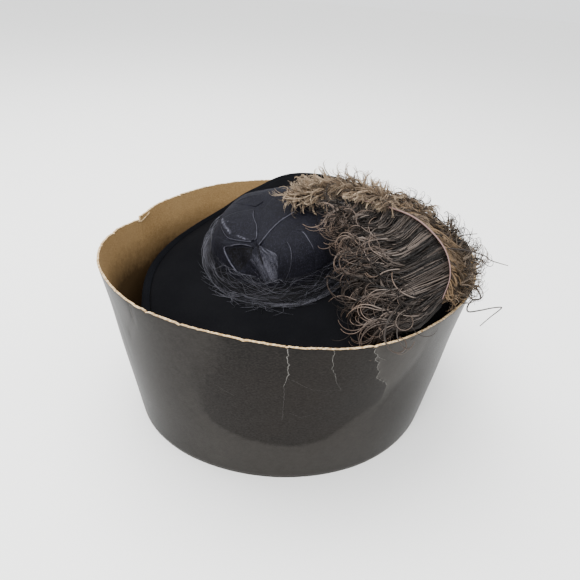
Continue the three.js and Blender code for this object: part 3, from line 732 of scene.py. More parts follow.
def makeBox():
    count = boxPiece["columns"]
    outer, inner = boxPiece["outerRows"], boxPiece["innerRows"]
    rows = [("outer", i / (outer - 1)) for i in range(outer)]
    rows += [("lip", 1.0), ("lip", 0.45), ("top", 0.25), ("top", 0.9), ("top", 1.6), ("top", 2.3),
             ("inLip", 0.5), ("inLip", 1.0)]
    rows += [("inner", 1 - i / (inner - 1)) for i in range(inner)]
    bearings = [360 * j / count for j in range(count)]
    columns = [(b, rimCut(b), tearDepth(b, *boxPiece["outerTear"]),
                tearDepth(b, *boxPiece["innerTear"])) for b in bearings]
    points, marksOfPeelAndShade = [], []
    for kind, t in rows:
        for b, cut, lip, drop in columns:
            if kind == "outer":
                z, inset = t * (cut - lip - 0.3), 0
            elif kind == "lip":
                z, inset = cut - lip * t, 0.05 + 0.25 * (1 - t)
            elif kind == "top":
                z, inset = cut + 0.4 * ripple(polar(100, b, 0), 0.9, 7 + t), t
            elif kind == "inLip":
                z, inset = cut - t * drop, boxShape["wall"] - 0.15 * (1 - t)
            else:
                z, inset = t * (cut - drop - 0.3), boxShape["wall"]
            point, peelAndShade = wallPoint(b, z, inset, inset >= boxShape["wall"])
            points.append(point)
            marksOfPeelAndShade.append(peelAndShade)
    faces = gridFaces(len(rows), count, closeRows=True)
    slots = []
    for i, (kind, t) in enumerate(rows):
        after = rows[(i + 1) % len(rows)][0]
        name = "cover"
        if kind in ("lip", "top"):
            name = "torn"
        if kind == "inner" or after == "inner":
            name = "inside"
        slots += [paperSlots[name]] * count
    marks = [(line, width, 0.3, 0, "crack") for line, width in boxPiece["cracks"]]
    marks.insert(4, (boxPiece["flake"], 0.8, 0.3, 0, "crack"))
    marks += [(line, width, 0.08, 0.25, "scratch") for line, width in boxPiece["scratches"]]
    for *mark, name in marks:
        start = len(points)
        more = gridFaces(addMark(points, *mark), 3, start, around=False, flip=True)
        faces += more
        slots += [paperSlots[name]] * len(more)
    # tongue of torn paper inside the rim
    start, steps = len(points), 14
    line = [Vector((b, z, 0)) for b, z in boxPiece["tongue"]]
    for k in range(steps + 1):
        t = k / steps
        spot = alongLine(line, t)
        uneven = 0.75 + 0.35 * ripple(Vector((spot.x * 4, spot.y, 0)), 0.6, 14)
        wide = 1.7 * (1 - 0.5 * t) * uneven
        for side, rise in ((-1, 0.4 + 1.2 * t), (0, 0.8 + 1.4 * t), (1, 0.3 + 0.7 * t)):
            z = spot.y + side * wide
            reach = boxRadius(spot.x, z) - boxShape["wall"] - rise
            points.append(polar(reach, spot.x, z))
    more = gridFaces(steps + 1, 3, start, around=False)
    faces += more
    slots += [paperSlots["torn"]] * len(more)
    marksOfPeelAndShade += [0] * (len(points) - len(marksOfPeelAndShade))
    box = makeObject("hatBoxWall", points, faces,
                     [papers[name + "Paper"] for name in paperSlots], slots, {"peelAndShade": marksOfPeelAndShade})
    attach(box, "root")
    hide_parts("box_wall")


makeBox()
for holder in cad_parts["box_bottom"].material_slots:
    holder.material = papers["boardPaper"]
print("stage: box made")


# creases over the velvet: line of bearing and share, height, width, worn, bare felt painted dark
# as shade
creasePiece = [
    ([(-108.5, 0.49), (-104, 0.56), (-100, 0.64)], -2.2, 1.0, 0, 0.95),
    ([(-178, 0.55), (-168, 0.49), (-162, 0.43)], 0.4, 0.9, 0.6, 0),
    ([(180, 0.57), (-164, 0.53), (-149, 0.51)], 0.2, 3.2, 0.72, 0),
    ([(-140, 0.485), (-124, 0.46)], 0.2, 2.4, 0.66, 0),
    ([(-72, 0.53), (-58, 0.56)], 0.4, 0.9, 0.6, 0),
    ([(-119, 0.67), (-111, 0.69), (-98, 0.78)], 0.4, 0.9, 0.8, 0),
    ([(147, 0.5), (139, 0.45), (116, 0.38), (90, 0.36)], 0.9, 1.8, 0.2, 0),
    ([(150, 0.57), (130, 0.53), (110, 0.5)], -0.8, 2, 0, 0),
]
# the hollow between the folds where the felt shows, painted darker than the felt as shade
hollowPiece = [(-141, 0.65), (-136, 0.6), (-127, 0.54), (-114, 0.515), (-111.5, 0.58),
               (-115, 0.65), (-118, 0.7), (-121, 0.76), (-130, 0.71)]
crownSpan = 130  # millimetres over the crown from its middle to its foot


def spanLine(rows):
    return [(q.x * crownSpan, q.y * crownSpan) for q in planLine(rows)]


creaseLines = [(spanLine(line), *row) for line, *row in creasePiece]
hollowLine = spanLine(hollowPiece)


def creaseAt(spot):
    # height, worn, and bare felt painted dark as shade, at a plan point of the crown, from the
    # creases and the hollow
    rise, wornAndSheen, bareAndShade = 0, 0, 0
    x, y = spot.x * crownSpan, spot.y * crownSpan
    for line, height, width, wear, nakedAndShade in creaseLines:
        d = distanceTo(line, x, y)
        if d < width * 3:
            near = math.exp(-(d / width) ** 2)
            rise += height * near
            wornAndSheen = max(wornAndSheen, wear * near)
            bareAndShade = max(bareAndShade, nakedAndShade * near)
    return rise, wornAndSheen, 1 if insideLine(hollowLine, x, y) else bareAndShade


hatPiece = {
    "columns": 360,
    "crownRows": 56,
    "brimRows": 22,
    "insideRows": 16,
    "brimWave": 0.5,
    # hollows pressed in the crown: bearing, share, depth, size in millimetres
    "hollows": [(-127, 0.62, 5, 13), (-121, 0.7, 4, 9), (-109, 0.47, 4, 7), (150, 0.2, 2, 24)],
}


def crownDent(bearing, share):
    spot = polar(share * crownSpan, bearing, 0)
    drop = 0
    for at, low, depth, size in hatPiece["hollows"]:
        drop += depth * math.exp(-((spot - polar(low * crownSpan, at, 0)).length / size) ** 2)
    return drop - 0.5 * ripple(spot, 0.05, 21) - 0.25 * ripple(spot, 0.14, 22)


def makeHat():
    count, thick = hatPiece["columns"], brimShape["thick"]
    outside, brim, inside = hatPiece["crownRows"], hatPiece["brimRows"], hatPiece["insideRows"]
    bearings = [360 * j / count for j in range(count)]
    points, wornAndSheen, bareAndShade = [], [], []
    for i in range(1, outside + 1):
        share = i / outside
        for b in bearings:
            rise, wear, nakedAndShade = creaseAt(polar(share, b, 0))
            points.append(crownPoint(b, share, min(rise, 0) - crownDent(b, share)))
            wornAndSheen.append(0.6 * wear)
            bareAndShade.append(nakedAndShade)
    steps = [(i + 1) / brim for i in range(brim)]
    for step in steps:
        for b in bearings:
            p = brimPoint(b, step)
            level = min(1, 4 * step) * min(1, 5 * (1 - step))
            p.z += hatPiece["brimWave"] * ripple(p, 0.03, 23) * level
            points.append(p)
    points += [brimPoint(b, step, thick) for step in reversed(steps) for b in bearings]
    for i in range(inside - 1, 0, -1):
        share = i / inside
        points += [crownPoint(b, share, -thick - max(0, crownDent(b, share))) for b in bearings]
    rows = len(points) // count
    faces = gridFaces(rows, count, flip=True)
    slots = [0] * (count * (outside - 1)) + [1] * (count * (rows - outside))
    # the middle of the crown, above and below
    top, under, last = len(points), len(points) + 1, (rows - 1) * count
    for low in (0, thick):
        points.append(hatPose @ Vector((0, 0, crownShape["high"] - low)))
    for j in range(count):
        k = (j + 1) % count
        faces += [(top, j, k), (under, last + k, last + j)]
        slots += [0, 1]
    plain = [0.0] * (len(points) - len(wornAndSheen))
    hat = makeObject("feltHat", points, faces, [crownVelvet, brimFelt], slots,
                     {"wornAndSheen": wornAndSheen + plain, "bareAndShade": bareAndShade + plain})
    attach(hat, "root")
    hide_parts("hat_body")


rollPiece = {
    "columns": 360,
    "sides": 20,
    # depth of the groove inside the roll, the place round the roll where it lies, its width
    "groove": (0.9, 130, 16),
    "sink": 1,
}


def makeRoll():
    count, sides = rollPiece["columns"], rollPiece["sides"]
    depth, place, width = rollPiece["groove"]
    points = []
    for s in range(sides):
        turn = fullTurn * s / sides
        groove = depth * math.exp(-((math.degrees(turn) - place) / width) ** 2)
        for j in range(count):
            b = 360 * j / count
            edge = brimEdge(b)
            wide = brimShape["rollWide"] * (1 + 0.05 * ripple(edge, 0.05, 31))
            thick = brimShape["rollThick"] * (1 + 0.08 * ripple(edge, 0.06, 32))
            reach = math.hypot(edge.x, edge.y) + wide * math.cos(turn)
            z = edge.z - rollPiece["sink"] + (thick - groove) * math.sin(turn)
            points.append(polar(reach, b, z))
    faces = gridFaces(sides, count, closeRows=True, flip=True)
    roll = makeObject("brimRoll", points, faces, [edgeFelt])
    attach(roll, "root")
    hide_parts("brim_roll")


makeHat()
makeRoll()
print("stage: felt hat made")


# velvet leaves: each is a fold between two edges, given as bearing and share of the way
# down the crown; soft edges sink into the crown, the others are worn unless they are plain
leafPiece = {
    "long": 60,
    "rim": (0, 0.35, 0.8, 1.5, 2.6, 4.2),
    "middle": 16,
    "thick": 1.5,
    # how far a sunk edge lies under the crown's surface
    "sunk": 0.95,
    # a leaf's share at which it stops before the foot of the crown
    "lowest": 0.86,
    # shine: a painted sheen on a leaf; fade: millimetres over which it grows from the leaf's left
    # edge
    "velvet_leaf_front": {
        "left": [(-111, 0.49), (-114, 0.58), (-113, 0.66), (-106, 0.73), (-97, 0.85)],
        "right": [(-107, 0.47), (-96, 0.5), (-85.5, 0.55), (-85.5, 0.68), (-87, 0.86)],
        "crest": 1.9, "soft": "both", "shine": 0.66, "fade": 3},
    "velvet_leaf_front_right": {
        "left": [(-81, 0.44), (-84.5, 0.52), (-86, 0.64), (-88, 0.8)],
        "right": [(-75, 0.42), (-73, 0.51), (-74.5, 0.6), (-77.5, 0.7), (-84, 0.84)],
        "crest": 2.2, "plain": "left", "mark": 1.15},
    "velvet_leaf_left": {
        "left": [(-116, 0.49), (-130, 0.505), (-146, 0.58), (-164, 0.65), (-174, 0.78)],
        "right": [(-113, 0.505), (-128, 0.53), (-137, 0.59), (-143, 0.65), (-131, 0.72),
                  (-120, 0.79)],
        "crest": 1.8, "soft": "left"},
    "velvet_leaf_upper_left": {
        "left": [(-117, 0.44), (-116, 0.4), (-123, 0.33), (-135, 0.27), (-165, 0.24), (164, 0.25)],
        "right": [(-118.5, 0.46), (-126, 0.485), (-139, 0.53), (-150, 0.56), (-168, 0.575),
                  (178, 0.58)],
        "crest": 1.9, "shine": 0.22, "fade": 3},
    "velvet_leaf_top": {
        "left": [(-113, 0.46), (-121, 0.33), (-150, 0.2), (165, 0.17), (105, 0.28)],
        "right": [(-109, 0.49), (-105, 0.38), (-98, 0.25), (-77, 0.14), (-23, 0.12), (15, 0.2)],
        "crest": 1.7, "soft": "left"},
    "velvet_leaf_right": {
        "left": [(-66, 0.28), (-49, 0.36), (-50, 0.48), (-52, 0.62), (-58, 0.78)],
        "right": [(-36, 0.26), (-32, 0.4), (-30, 0.6), (-31, 0.79)],
        "crest": 1.6, "soft": "right", "leftMark": (0.3, 0.6), "start": 0.25, "mark": 0.7},
    "velvet_leaf_back_left": {
        "left": [(152, 0.26), (157, 0.5), (152, 0.65), (148, 0.79)],
        "right": [(128, 0.26), (113, 0.5), (113, 0.65), (116, 0.79)],
        "crest": 1.8, "soft": "both", "start": 0.45, "startPower": 1.2},
    "velvet_leaf_back": {
        "left": [(94, 0.34), (101, 0.5), (99, 0.65), (97, 0.79)],
        "right": [(74, 0.35), (67, 0.5), (69, 0.65), (71, 0.79)],
        "crest": 2.2, "soft": "both"},
}


def acrossSteps(half):
    # places across a leaf, close together near its two edges, from -1 to 1
    rim = leafPiece["rim"]
    squeeze = min(1, half * 0.8 / rim[-1])
    near = [-1 + e * squeeze / half for e in rim]
    inner = near[-1]
    count = leafPiece["middle"]
    middle = [inner - 2 * inner * k / count for k in range(1, count)]
    return near + middle + [-v for v in reversed(near)]


def leafFold(row, u, v, half, ends):
    # height of a leaf's fold, how far it is out of the crown and how crisp its edge is
    low, high = row.get("leftMark", (-1, 2))
    crisp = {"left": max(0, 1 - max(low - u, u - high, 0) / 0.16), "right": 1}
    lift, edge, near = row["crest"], 0, 3 * ends
    for side, d in (("left", (1 + v) * half), ("right", (1 - v) * half)):
        slope = min(1, d / half) ** 1.2
        if row.get("soft") in (side, "both"):
            lift *= slope
            near = min(near, 6 * d / half)
            continue
        sharp = crisp[side]
        fold = (1 - math.exp(-(d + 0.15) / 0.55)) * (0.7 + 0.3 * math.exp(-(d / 6) ** 2))
        lift *= sharp * fold + (1 - sharp) * slope
        near = min(near, 6 * (sharp + d / half))
        if row.get("plain") != side:
            edge = max(edge, sharp * math.exp(-(d / 0.85) ** 2))
    return lift, min(1, near), edge


def leafPlace(row, p, u, v, half, seed):
    # lift, wear with painted sheen, and bare felt with painted shade, at a place of a leaf, along
    # it at u and across it at v
    start = row.get("start", 0.05)
    ends = min(1, u / start) ** row.get("startPower", 0.6) * min(1, (1 - u) / 0.15) ** 0.5
    lift, near, edge = leafFold(row, u, v, half, ends)
    rise, wear, bareAndShade = creaseAt(p)
    spot = p * crownSpan
    fold = 0.3 * math.sin(3.2 * v + 4 * u + seed) + 0.35 * ripple(spot, 0.07, 40 + seed)
    lift = lift * ends * (1 + 0.25 * fold) + rise * ends - leafPiece["sunk"] + 1.2 * near
    speck = 1 + 0.35 * ripple(spot, 0.2, 60 + seed)
    # shine paints a sheen on the leaf, in streaks along it, growing from its left edge
    streak = 0.72 + 0.5 * ripple(Vector((0.42 * (v * half - 15 * u), 2 * u, 0)), 1, 80)
    fade = 1 - math.exp(-(1 + v) * half / row.get("fade", 1))
    wornAndSheen = max(row.get("mark", 0.92) * edge * speck * ends,
               wear * (0.8 + 0.7 * ripple(spot, 0.35, 71)),
               row.get("shine", 0) * ends * streak * fade)
    return lift, min(1.1, wornAndSheen), bareAndShade


def makeLeaf(name, seed):
    row = leafPiece[name]
    left, right = planLine(row["left"]), planLine(row["right"])
    rows, columns = leafPiece["long"] + 1, len(acrossSteps(10))
    under = rows * columns
    points, wornAndSheen, bareAndShade = [], [], []
    for layer in ("above", "below"):
        for i in range(rows):
            u = i / (rows - 1)
            a, b = alongLine(left, u), alongLine(right, u)
            half = max(0.4, (b - a).length * crownSpan / 2)
            for v in acrossSteps(half):
                p = (a + b) / 2 + (b - a) / 2 * v
                lift, wear, nakedAndShade = leafPlace(row, p, u, v, half, seed)
                lift = max(lift, -1) if layer == "above" else min(-0.4, lift - leafPiece["thick"])
                bearing = math.degrees(math.atan2(p.y, p.x))
                points.append(crownPoint(bearing, min(p.length, leafPiece["lowest"]), lift))
                wornAndSheen.append(wear)
                bareAndShade.append(nakedAndShade)
    faces = gridFaces(rows, columns, around=False, flip=True)
    faces += gridFaces(rows, columns, under, around=False)
    # close the leaf all round its rim
    last = (rows - 1) * columns
    ring = list(range(columns))
    ring += [i * columns + columns - 1 for i in range(1, rows)]
    ring += [last + j for j in range(columns - 2, -1, -1)]
    ring += [i * columns for i in range(rows - 2, 0, -1)]
    faces += [(a, b, under + b, under + a) for a, b in zip(ring, ring[1:] + ring[:1])]
    leaf = makeObject(name.replace("velvet_", "") + "_fold", points, faces, [crownVelvet], None,
                      {"wornAndSheen": wornAndSheen, "bareAndShade": bareAndShade})
    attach(leaf, "root")
    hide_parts(name)


for seed, name in enumerate([key for key in leafPiece if key.startswith("velvet")]):
    makeLeaf(name, seed)
print("stage: velvet made")


# radians that random phases are drawn from and waves run through
phaseSpan = 6.3


def newBundle():
    # strands: thin tubes joined in one mesh
    return {"points": [], "faces": [], "along": [], "tone": []}


def addStrand(bundle, path, radius, tone, tip=0.3, sides=3, flat=1.0, span=(0, 1)):
    # a tube along a path; tip: its end's share of the radius; span: where it lies on a barb
    count, start = len(path), len(bundle["points"])
    normal = None
    for i, p in enumerate(path):
        ahead = path[min(i + 1, count - 1)] - path[max(i - 1, 0)]
        if ahead.length < 1e-6:
            ahead = Vector((0, 0, 1))
        ahead.normalize()
        if normal is None:
            normal = ahead.orthogonal().normalized()
        normal = normal - ahead * normal.dot(ahead)
        if normal.length < 1e-4:
            normal = ahead.orthogonal()
        normal.normalize()
        other = ahead.cross(normal)
        t = i / (count - 1)
        size = radius * (1 - (1 - tip) * t ** 1.5)
        for s in range(sides):
            turn = fullTurn * s / sides
            wide, high = size * math.cos(turn), size * flat * math.sin(turn)
            bundle["points"].append(p + normal * wide + other * high)
    bundle["along"] += [span[0] + (span[1] - span[0]) * i / (count - 1)
                        for i in range(count) for s in range(sides)]
    bundle["tone"] += [tone] * (count * sides)
    bundle["faces"] += gridFaces(count, sides, start)
    end = start + (count - 1) * sides
    bundle["faces"].append(tuple(start + s for s in reversed(range(sides))))
    bundle["faces"].append(tuple(end + s for s in range(sides)))


def endCurl(path, radius, turns, axis, steps):
    # carries a path on round a shrinking loop about an axis
    p = path[-1].copy()
    ahead = (path[-1] - path[-2]).normalized()
    out = list(path)
    step = turns * fullTurn / steps
    for k in range(steps):
        ahead = Matrix.Rotation(step, 3, axis) @ ahead
        p = p + ahead * (radius * (1 - 0.45 * k / steps) * abs(step))
        out.append(p.copy())
    return out


def bundleObject(name, bundle, material):
    piece = makeObject(name, bundle["points"], bundle["faces"], [material], None,
                       {"along": bundle["along"], "tone": bundle["tone"]})
    print("stage:", name, "made with", madeCount[-1], "triangles")
    return piece


# wreath of tangled strands round the foot of the crown
wreathPiece = {
    "strands": 1000,
    "loops": 80,
    "loose": 60,
    "radius": 0.17,
    "looseRadius": 0.2,
    # degrees that a strand, a loop and a loose strand run round the crown
    "runs": (10, 46),
    "loopRuns": (14, 34),
    "drift": 20,
    # how far a strand lifts and a loop stands out
    "lifts": (0.2, 2.2),
    "loopLifts": (3, 9),
    # the tones that strands have, from dark to light
    "tones": (0, 0.03, 0.1, 0.25, 0.6, 1),
    # between these bearings so many strands are left out
    "thin": (130, 225, 0.55),
    # rows of the dark backing, a sheet of painted shade under the strands: share and lift
    "backing": [(0.845, 0.2), (0.86, 0.9), (0.9, 1.5), (0.955, 2.2), (0.99, 1.8), (0.998, 0.2)],
    # how much further out the strands stand: bearing, width, share
    "swells": [(-172, 22, 0.15), (84, 30, 0.6)],
}


def wreathSwell(bearing):
    return 1 + sum(share * math.exp(-(turnFrom(at, bearing) / width) ** 2)
                   for at, width, share in wreathPiece["swells"])


def veilPoint(bearing, down, lift):
    # down runs from 0 high on the crown wall to 1 out on the brim
    top = crownPoint(bearing, 0.75, 2.4)
    wall = crownPoint(bearing, 0.9, 2)
    foot = crownPoint(bearing, 0.99, 1.5)
    out = brimPoint(bearing, 0.06) + Vector((0, 0, 0.7))
    here = alongLine([top, wall, foot, out], down)
    middle = Vector((crownShape["spot"][0], crownShape["spot"][1], here.z))
    away = (here - middle).normalized() * (1 - 0.5 * down) + hatUp * (0.25 + 0.8 * down)
    return here + away.normalized() * lift


def addShadeBacking(bundle, rng):
    # a near-black sheet under the strands, painted shade among them
    count = 180
    for share, lift in wreathPiece["backing"]:
        for j in range(count):
            rough = 0.5 * rng.random() if lift > 1 else 0
            bundle["points"].append(crownPoint(360 * j / count, share, lift + rough))
    bundle["along"] += [0] * len(bundle["points"])
    bundle["tone"] += [0] * len(bundle["points"])
    bundle["faces"] += gridFaces(len(wreathPiece["backing"]), count, flip=True)


def makeWreath():
    rng = random.Random(7)
    bundle = newBundle()
    addShadeBacking(bundle, rng)
    steps = 12
    first, last, left = wreathPiece["thin"]
    for n in range(wreathPiece["strands"]):
        bearing = rng.uniform(0, 360)
        if first < bearing < last and rng.random() < left:
            continue
        length = rng.uniform(*wreathPiece["runs"]) * rng.choice((-1, 1))
        low = rng.random() ** 1.15
        slope = rng.uniform(-0.5, 0.5)
        turns, phase = rng.uniform(0.3, 1.3), rng.uniform(0, phaseSpan)
        swing = rng.uniform(0.02, 0.11)
        lift = rng.uniform(*wreathPiece["lifts"]) * (0.4 + low)
        path = []
        for k in range(steps):
            t = k / (steps - 1)
            b = bearing + length * t + 1.2 * math.sin(phase * 2 + 7 * t)
            down = low + slope * (t - 0.5) + swing * math.sin(phase + turns * phaseSpan * t)
            down = 1 - abs(1 - abs(down))
            up = max(0.1, lift + 0.7 * math.sin(phase * 3 + 8 * t)) * wreathSwell(b)
            path.append(veilPoint(b, down, up))
        addStrand(bundle, path, wreathPiece["radius"] * rng.uniform(0.55, 1.3),
                  rng.choice(wreathPiece["tones"]), tip=0.5)
    radius = wreathPiece["looseRadius"]
    for n in range(wreathPiece["loops"]):
        at = rng.gauss(182, 17) if n % 3 else rng.gauss(88, 16)
        span, out = rng.uniform(*wreathPiece["loopRuns"]), rng.uniform(*wreathPiece["loopLifts"])
        start, end = rng.uniform(0, 0.5), rng.uniform(0.3, 1)
        path = []
        for k in range(15):
            t = k / 14
            path.append(veilPoint(at + span * (t - 0.5), start + (end - start) * t,
                                  1 + out * math.sin(math.pi * t) ** 0.8))
        addStrand(bundle, path, radius, 0.15 + 0.7 * rng.random(), tip=0.7)
    for n in range(wreathPiece["loose"]):
        bearing = rng.uniform(-195, -20) if n % 3 else rng.uniform(0, 360)
        drift = rng.uniform(-wreathPiece["drift"], wreathPiece["drift"])
        far = rng.uniform(0.03, 0.13)
        path = []
        for k in range(steps):
            t = k / (steps - 1)
            b = bearing + drift * t + 2.5 * math.sin(6 * t + n)
            if t < 0.3:
                path.append(veilPoint(b, 0.6 + t, 2 - 3 * t))
            else:
                p = brimPoint(b, 0.05 + far * (t - 0.3) / 0.7)
                p.z += 0.6 + 1.5 * abs(math.sin(5 * t + n))
                path.append(p)
        addStrand(bundle, path, radius, 0.7 * rng.random(), tip=0.5)
    wreath = bundleObject("strandWreath", bundle, wreathFibre)
    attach(wreath, "root")
    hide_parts("crown_wreath")


makeWreath()


# ostrich plume, with places across its shaft
plumePiece = {
    "stations": [
        {"shaft": (65, 26, 262), "innerBend": (59, -7, 262), "innerTip": (55, -9, 250),
         "outerBend": (82, 40, 268), "outerTip": (102, 98, 254)},
        {"shaft": (101, -4, 268), "innerBend": (79, -19, 258), "innerTip": (59, -29, 242),
         "outerBend": (120, 24, 270), "outerTip": (142, 77, 256)},
        {"shaft": (128, -31, 270), "innerBend": (102, -45, 254), "innerTip": (60, -46, 232),
         "outerBend": (148, 1, 267), "outerTip": (172, 46, 251)},
        {"shaft": (145, -63, 268), "innerBend": (111, -72, 248), "innerTip": (62, -65, 222),
         "outerBend": (168, -26, 260), "outerTip": (190, 17, 242)},
        {"shaft": (155, -95, 262), "innerBend": (114, -102, 242), "innerTip": (65, -85, 206),
         "outerBend": (181, -56, 250), "outerTip": (205, -18, 234)},
        {"shaft": (155, -125, 252), "innerBend": (117, -135, 236), "innerTip": (66, -114, 187),
         "outerBend": (186, -83, 241), "outerTip": (214, -47, 226)},
        {"shaft": (146, -147, 238), "innerBend": (124, -159, 222), "innerTip": (81, -174, 194),
         "outerBend": (175, -115, 233), "outerTip": (198, -95, 222)},
    ],
    # nearly black strands under the locks, painted shade
    "shadeStrands": 520,
    "innerLocks": 190,
    # share of a barb's length that a lock reaches, its waves and their height
    "innerReach": (0.5, 0.95),
    "innerWaves": (0.8, 1.9),
    "innerHeight": (1, 3.4),
    "curlLocks": 330,
    "outerLocks": 190,
    # share of the shaft that an outer barb runs along, its waves and their height
    "outerSweep": (0.22, 0.34),
    "outerWaves": (0.5, 1.3),
    "outerHeight": (0.8, 2.6),
    "outerCurls": 100,
    "outerCurlLengths": (22, 50),
    "strandRadius": 0.66,
    "curlRadius": 0.85,
    # tones of the locks, from dark to light, named for each group
    "innerTones": (0, 0, 0.05, 0.15, 0.35, 0.8, 1),
    "curlTones": (0, 0, 0.03, 0.1, 0.25, 0.5, 0.9, 1),
    "outerTones": (0, 0.1, 0.3, 0.6, 1),
    "outerCurlTones": (0, 0.1, 0.3, 0.7),
    # curls that end the locks: sizes, turns and how far their axes scatter
    "innerCurl": ((4, 11), (0.15, 0.75), 0.5),
    "outerCurl": ((3, 8), (0.1, 0.8), 0.8),
    "middleCurl": ((5, 10), (0.4, 0.9), 0.5),
    # where the inner barbs sag between their bend and their tip
    "sag": (0.55, (-7, 3, 5)),
    # paths and radii of long stray barbs
    "wisps": [([(150, -105, 258), (184, -98, 236), (202, -100, 215), (194, -100, 210),
                (191, -100, 201), (194, -100, 195), (206, -100, 198), (217, -100, 202),
                (227, -100, 204), (226, -100, 200), (219, -100, 190), (211, -100, 177)], 1.0),
              ([(110, -30, 270), (152, -17, 262), (173, -20, 251), (173, -20, 261),
                (172, -20, 270), (169, -20, 275), (166, -20, 273)], 0.75),
              ([(118, 2, 266), (150, 2, 256), (163, 0, 255), (165, 0, 262), (161, 0, 269),
                (153, 0, 274)], 0.7),
              ([(138, -60, 268), (164, -46, 260), (180, -40, 252), (185, -40, 256),
                (191, -40, 258), (202, -40, 260)], 0.8),
              ([(150, -84, 262), (178, -86, 262), (196, -90, 260), (204, -90, 255),
                (215, -90, 252), (224, -90, 250)], 0.75),
              ([(112, -140, 232), (92, -176, 232), (88, -188, 222), (91, -189, 213),
                (97, -189, 205), (105, -189, 203), (110, -189, 210), (108, -188, 217),
                (102, -188, 221)], 1.0),
              ([(108, -150, 226), (100, -184, 222), (106, -190, 212), (114, -188, 208),
                (118, -184, 214)], 0.7),
              ([(78, -80, 244), (56, -94, 232), (44, -100, 225), (38, -100, 227),
                (34, -100, 224)], 0.55),
              ([(80, -62, 254), (56, -86, 250), (40, -100, 252), (35, -100, 260),
                (35, -100, 267)], 0.55)],
    "shaftRoot": (26, 74, 246),
    "shaftRadius": 1.15,
    "shaftLift": 1.2,
}
shaftLine, innerBendLine, innerTipLine, outerBendLine, outerTipLine = [
    [Vector(row[name]) for row in plumePiece["stations"]]
    for name in ("shaft", "innerBend", "innerTip", "outerBend", "outerTip")]


def sagPoint(bend, tip):
    share, shift = plumePiece["sag"]
    return bend.lerp(tip, share) + Vector(shift)


innerSheet = [shaftLine, innerBendLine,
              [sagPoint(*pair) for pair in zip(innerBendLine, innerTipLine)], innerTipLine]
outerSheet = [shaftLine, outerBendLine, outerTipLine]


def sheetPoint(sheet, at, out):
    # a place on one side of the plume: at along the shaft, out from it, carried on past the ends
    a, u = clamp(at), clamp(out)
    knots = [alongLine(line, a) for line in sheet]
    p = alongLine(knots, u)
    if at != a:
        back = [alongLine(line, a - 0.05 if at > a else a + 0.05) for line in sheet]
        p = p + (p - alongLine(back, u)) * (abs(at - a) / 0.05)
    if out > u:
        p = p + (knots[-1] - alongLine(knots, 0.92)) * ((out - u) / 0.08)
    return p


def addTendril(bundle, rng, sheet, at, out, length, slack, tight, strands, radius, tone, lift,
               span):
    # strands that lift off the plume and curl more and more tightly, from slack to tight
    steps, sink = 20, 0.012
    ahead = (sheetPoint(sheet, at, out + 0.04) - sheetPoint(sheet, at, out - 0.04)).normalized()
    ahead.z *= 0.45
    ahead = (ahead + scatterBy(rng, 0.4, 0.4, (-0.1, 0.35))).normalized()
    axis = flatAxis(rng, 0.45)
    flip = rng.uniform(0.25, 0.6) if rng.random() < 0.4 else 2
    for n in range(strands):
        ds = length * rng.uniform(0.8, 1.05) / steps
        p = sheetPoint(sheet, at, out) + scatterBy(rng, 1, 1, (lift - 0.8, lift + 0.8))
        way = (ahead + scatterBy(rng, 0.1, 0.1, 0.1)).normalized()
        path = [p.copy()]
        for k in range(steps):
            t = k / steps
            bend = (slack + (tight - slack) * t ** 1.5) * (-1 if t > flip else 1)
            way = Matrix.Rotation(bend * ds, 3, axis) @ way
            way = (way - Vector((0, 0, sink))).normalized()
            p = p + way * ds
            path.append(p.copy())
        addStrand(bundle, path, radius * rng.uniform(0.75, 1.2),
                  clamp(tone + rng.uniform(-0.12, 0.12)), tip=0.25, flat=0.75, span=span)


def curvePath(knots, steps):
    return [alongLine(knots, k / (steps - 1)) for k in range(steps)]


def addLock(bundle, rng, guide, strands, wide, radius, tone, curl, point=0.25, span=(0, 1),
            roots=None):
    # strands that run together along a guide, close up towards its tip and end in a curl,
    # from their own roots if given
    run = (guide[-1] - guide[0]).normalized()
    first = run.orthogonal().normalized()
    second = run.cross(first)
    size, turns, axis = curl
    curlSteps = max(4, round(abs(turns) * 10))
    for n in range(strands):
        turn = rng.uniform(0, phaseSpan)
        off = first * math.cos(turn) + second * math.sin(turn)
        reach = wide * rng.uniform(0.25, 1)
        phase, weave = rng.uniform(0, phaseSpan), rng.uniform(0.1, 0.7)
        keep = max(4, int(len(guide) * rng.uniform(0.8, 1)))
        path = []
        for k in range(keep):
            t = k / (len(guide) - 1)
            gap = reach * (0.25 + 0.75 * math.sin(math.pi * min(1, 0.15 + 0.8 * t)))
            p = guide[k] + off * gap + first * (weave * math.sin(phase + 7 * t))
            p += second * (weave * math.sin(phase * 2 + 6 * t))
            if roots:
                p += (roots[n] - guide[0]) * (1 - ease(0, 1, 0, 0, clamp((t - 0.15) / 0.6)))
            path.append(p)
        path = endCurl(path, size * rng.uniform(0.75, 1.25), turns * rng.uniform(0.7, 1.2), axis,
                       curlSteps)
        shade = clamp(tone + rng.uniform(-0.1, 0.1))
        addStrand(bundle, path, radius * rng.uniform(0.6, 1.25), shade, tip=point, flat=0.7,
                  span=span)


def flatAxis(rng, scatter):
    # an axis that lays a curl flat over the plume, turning either way
    axis = Vector((0, -0.8, 0.6)) + scatterBy(rng, scatter, scatter, scatter)
    return axis.normalized() * rng.choice((-1, 1, 1))


def randomCurl(rng, kind):
    sizes, turns, scatter = plumePiece[kind]
    return rng.uniform(*sizes), rng.uniform(*turns), flatAxis(rng, scatter)


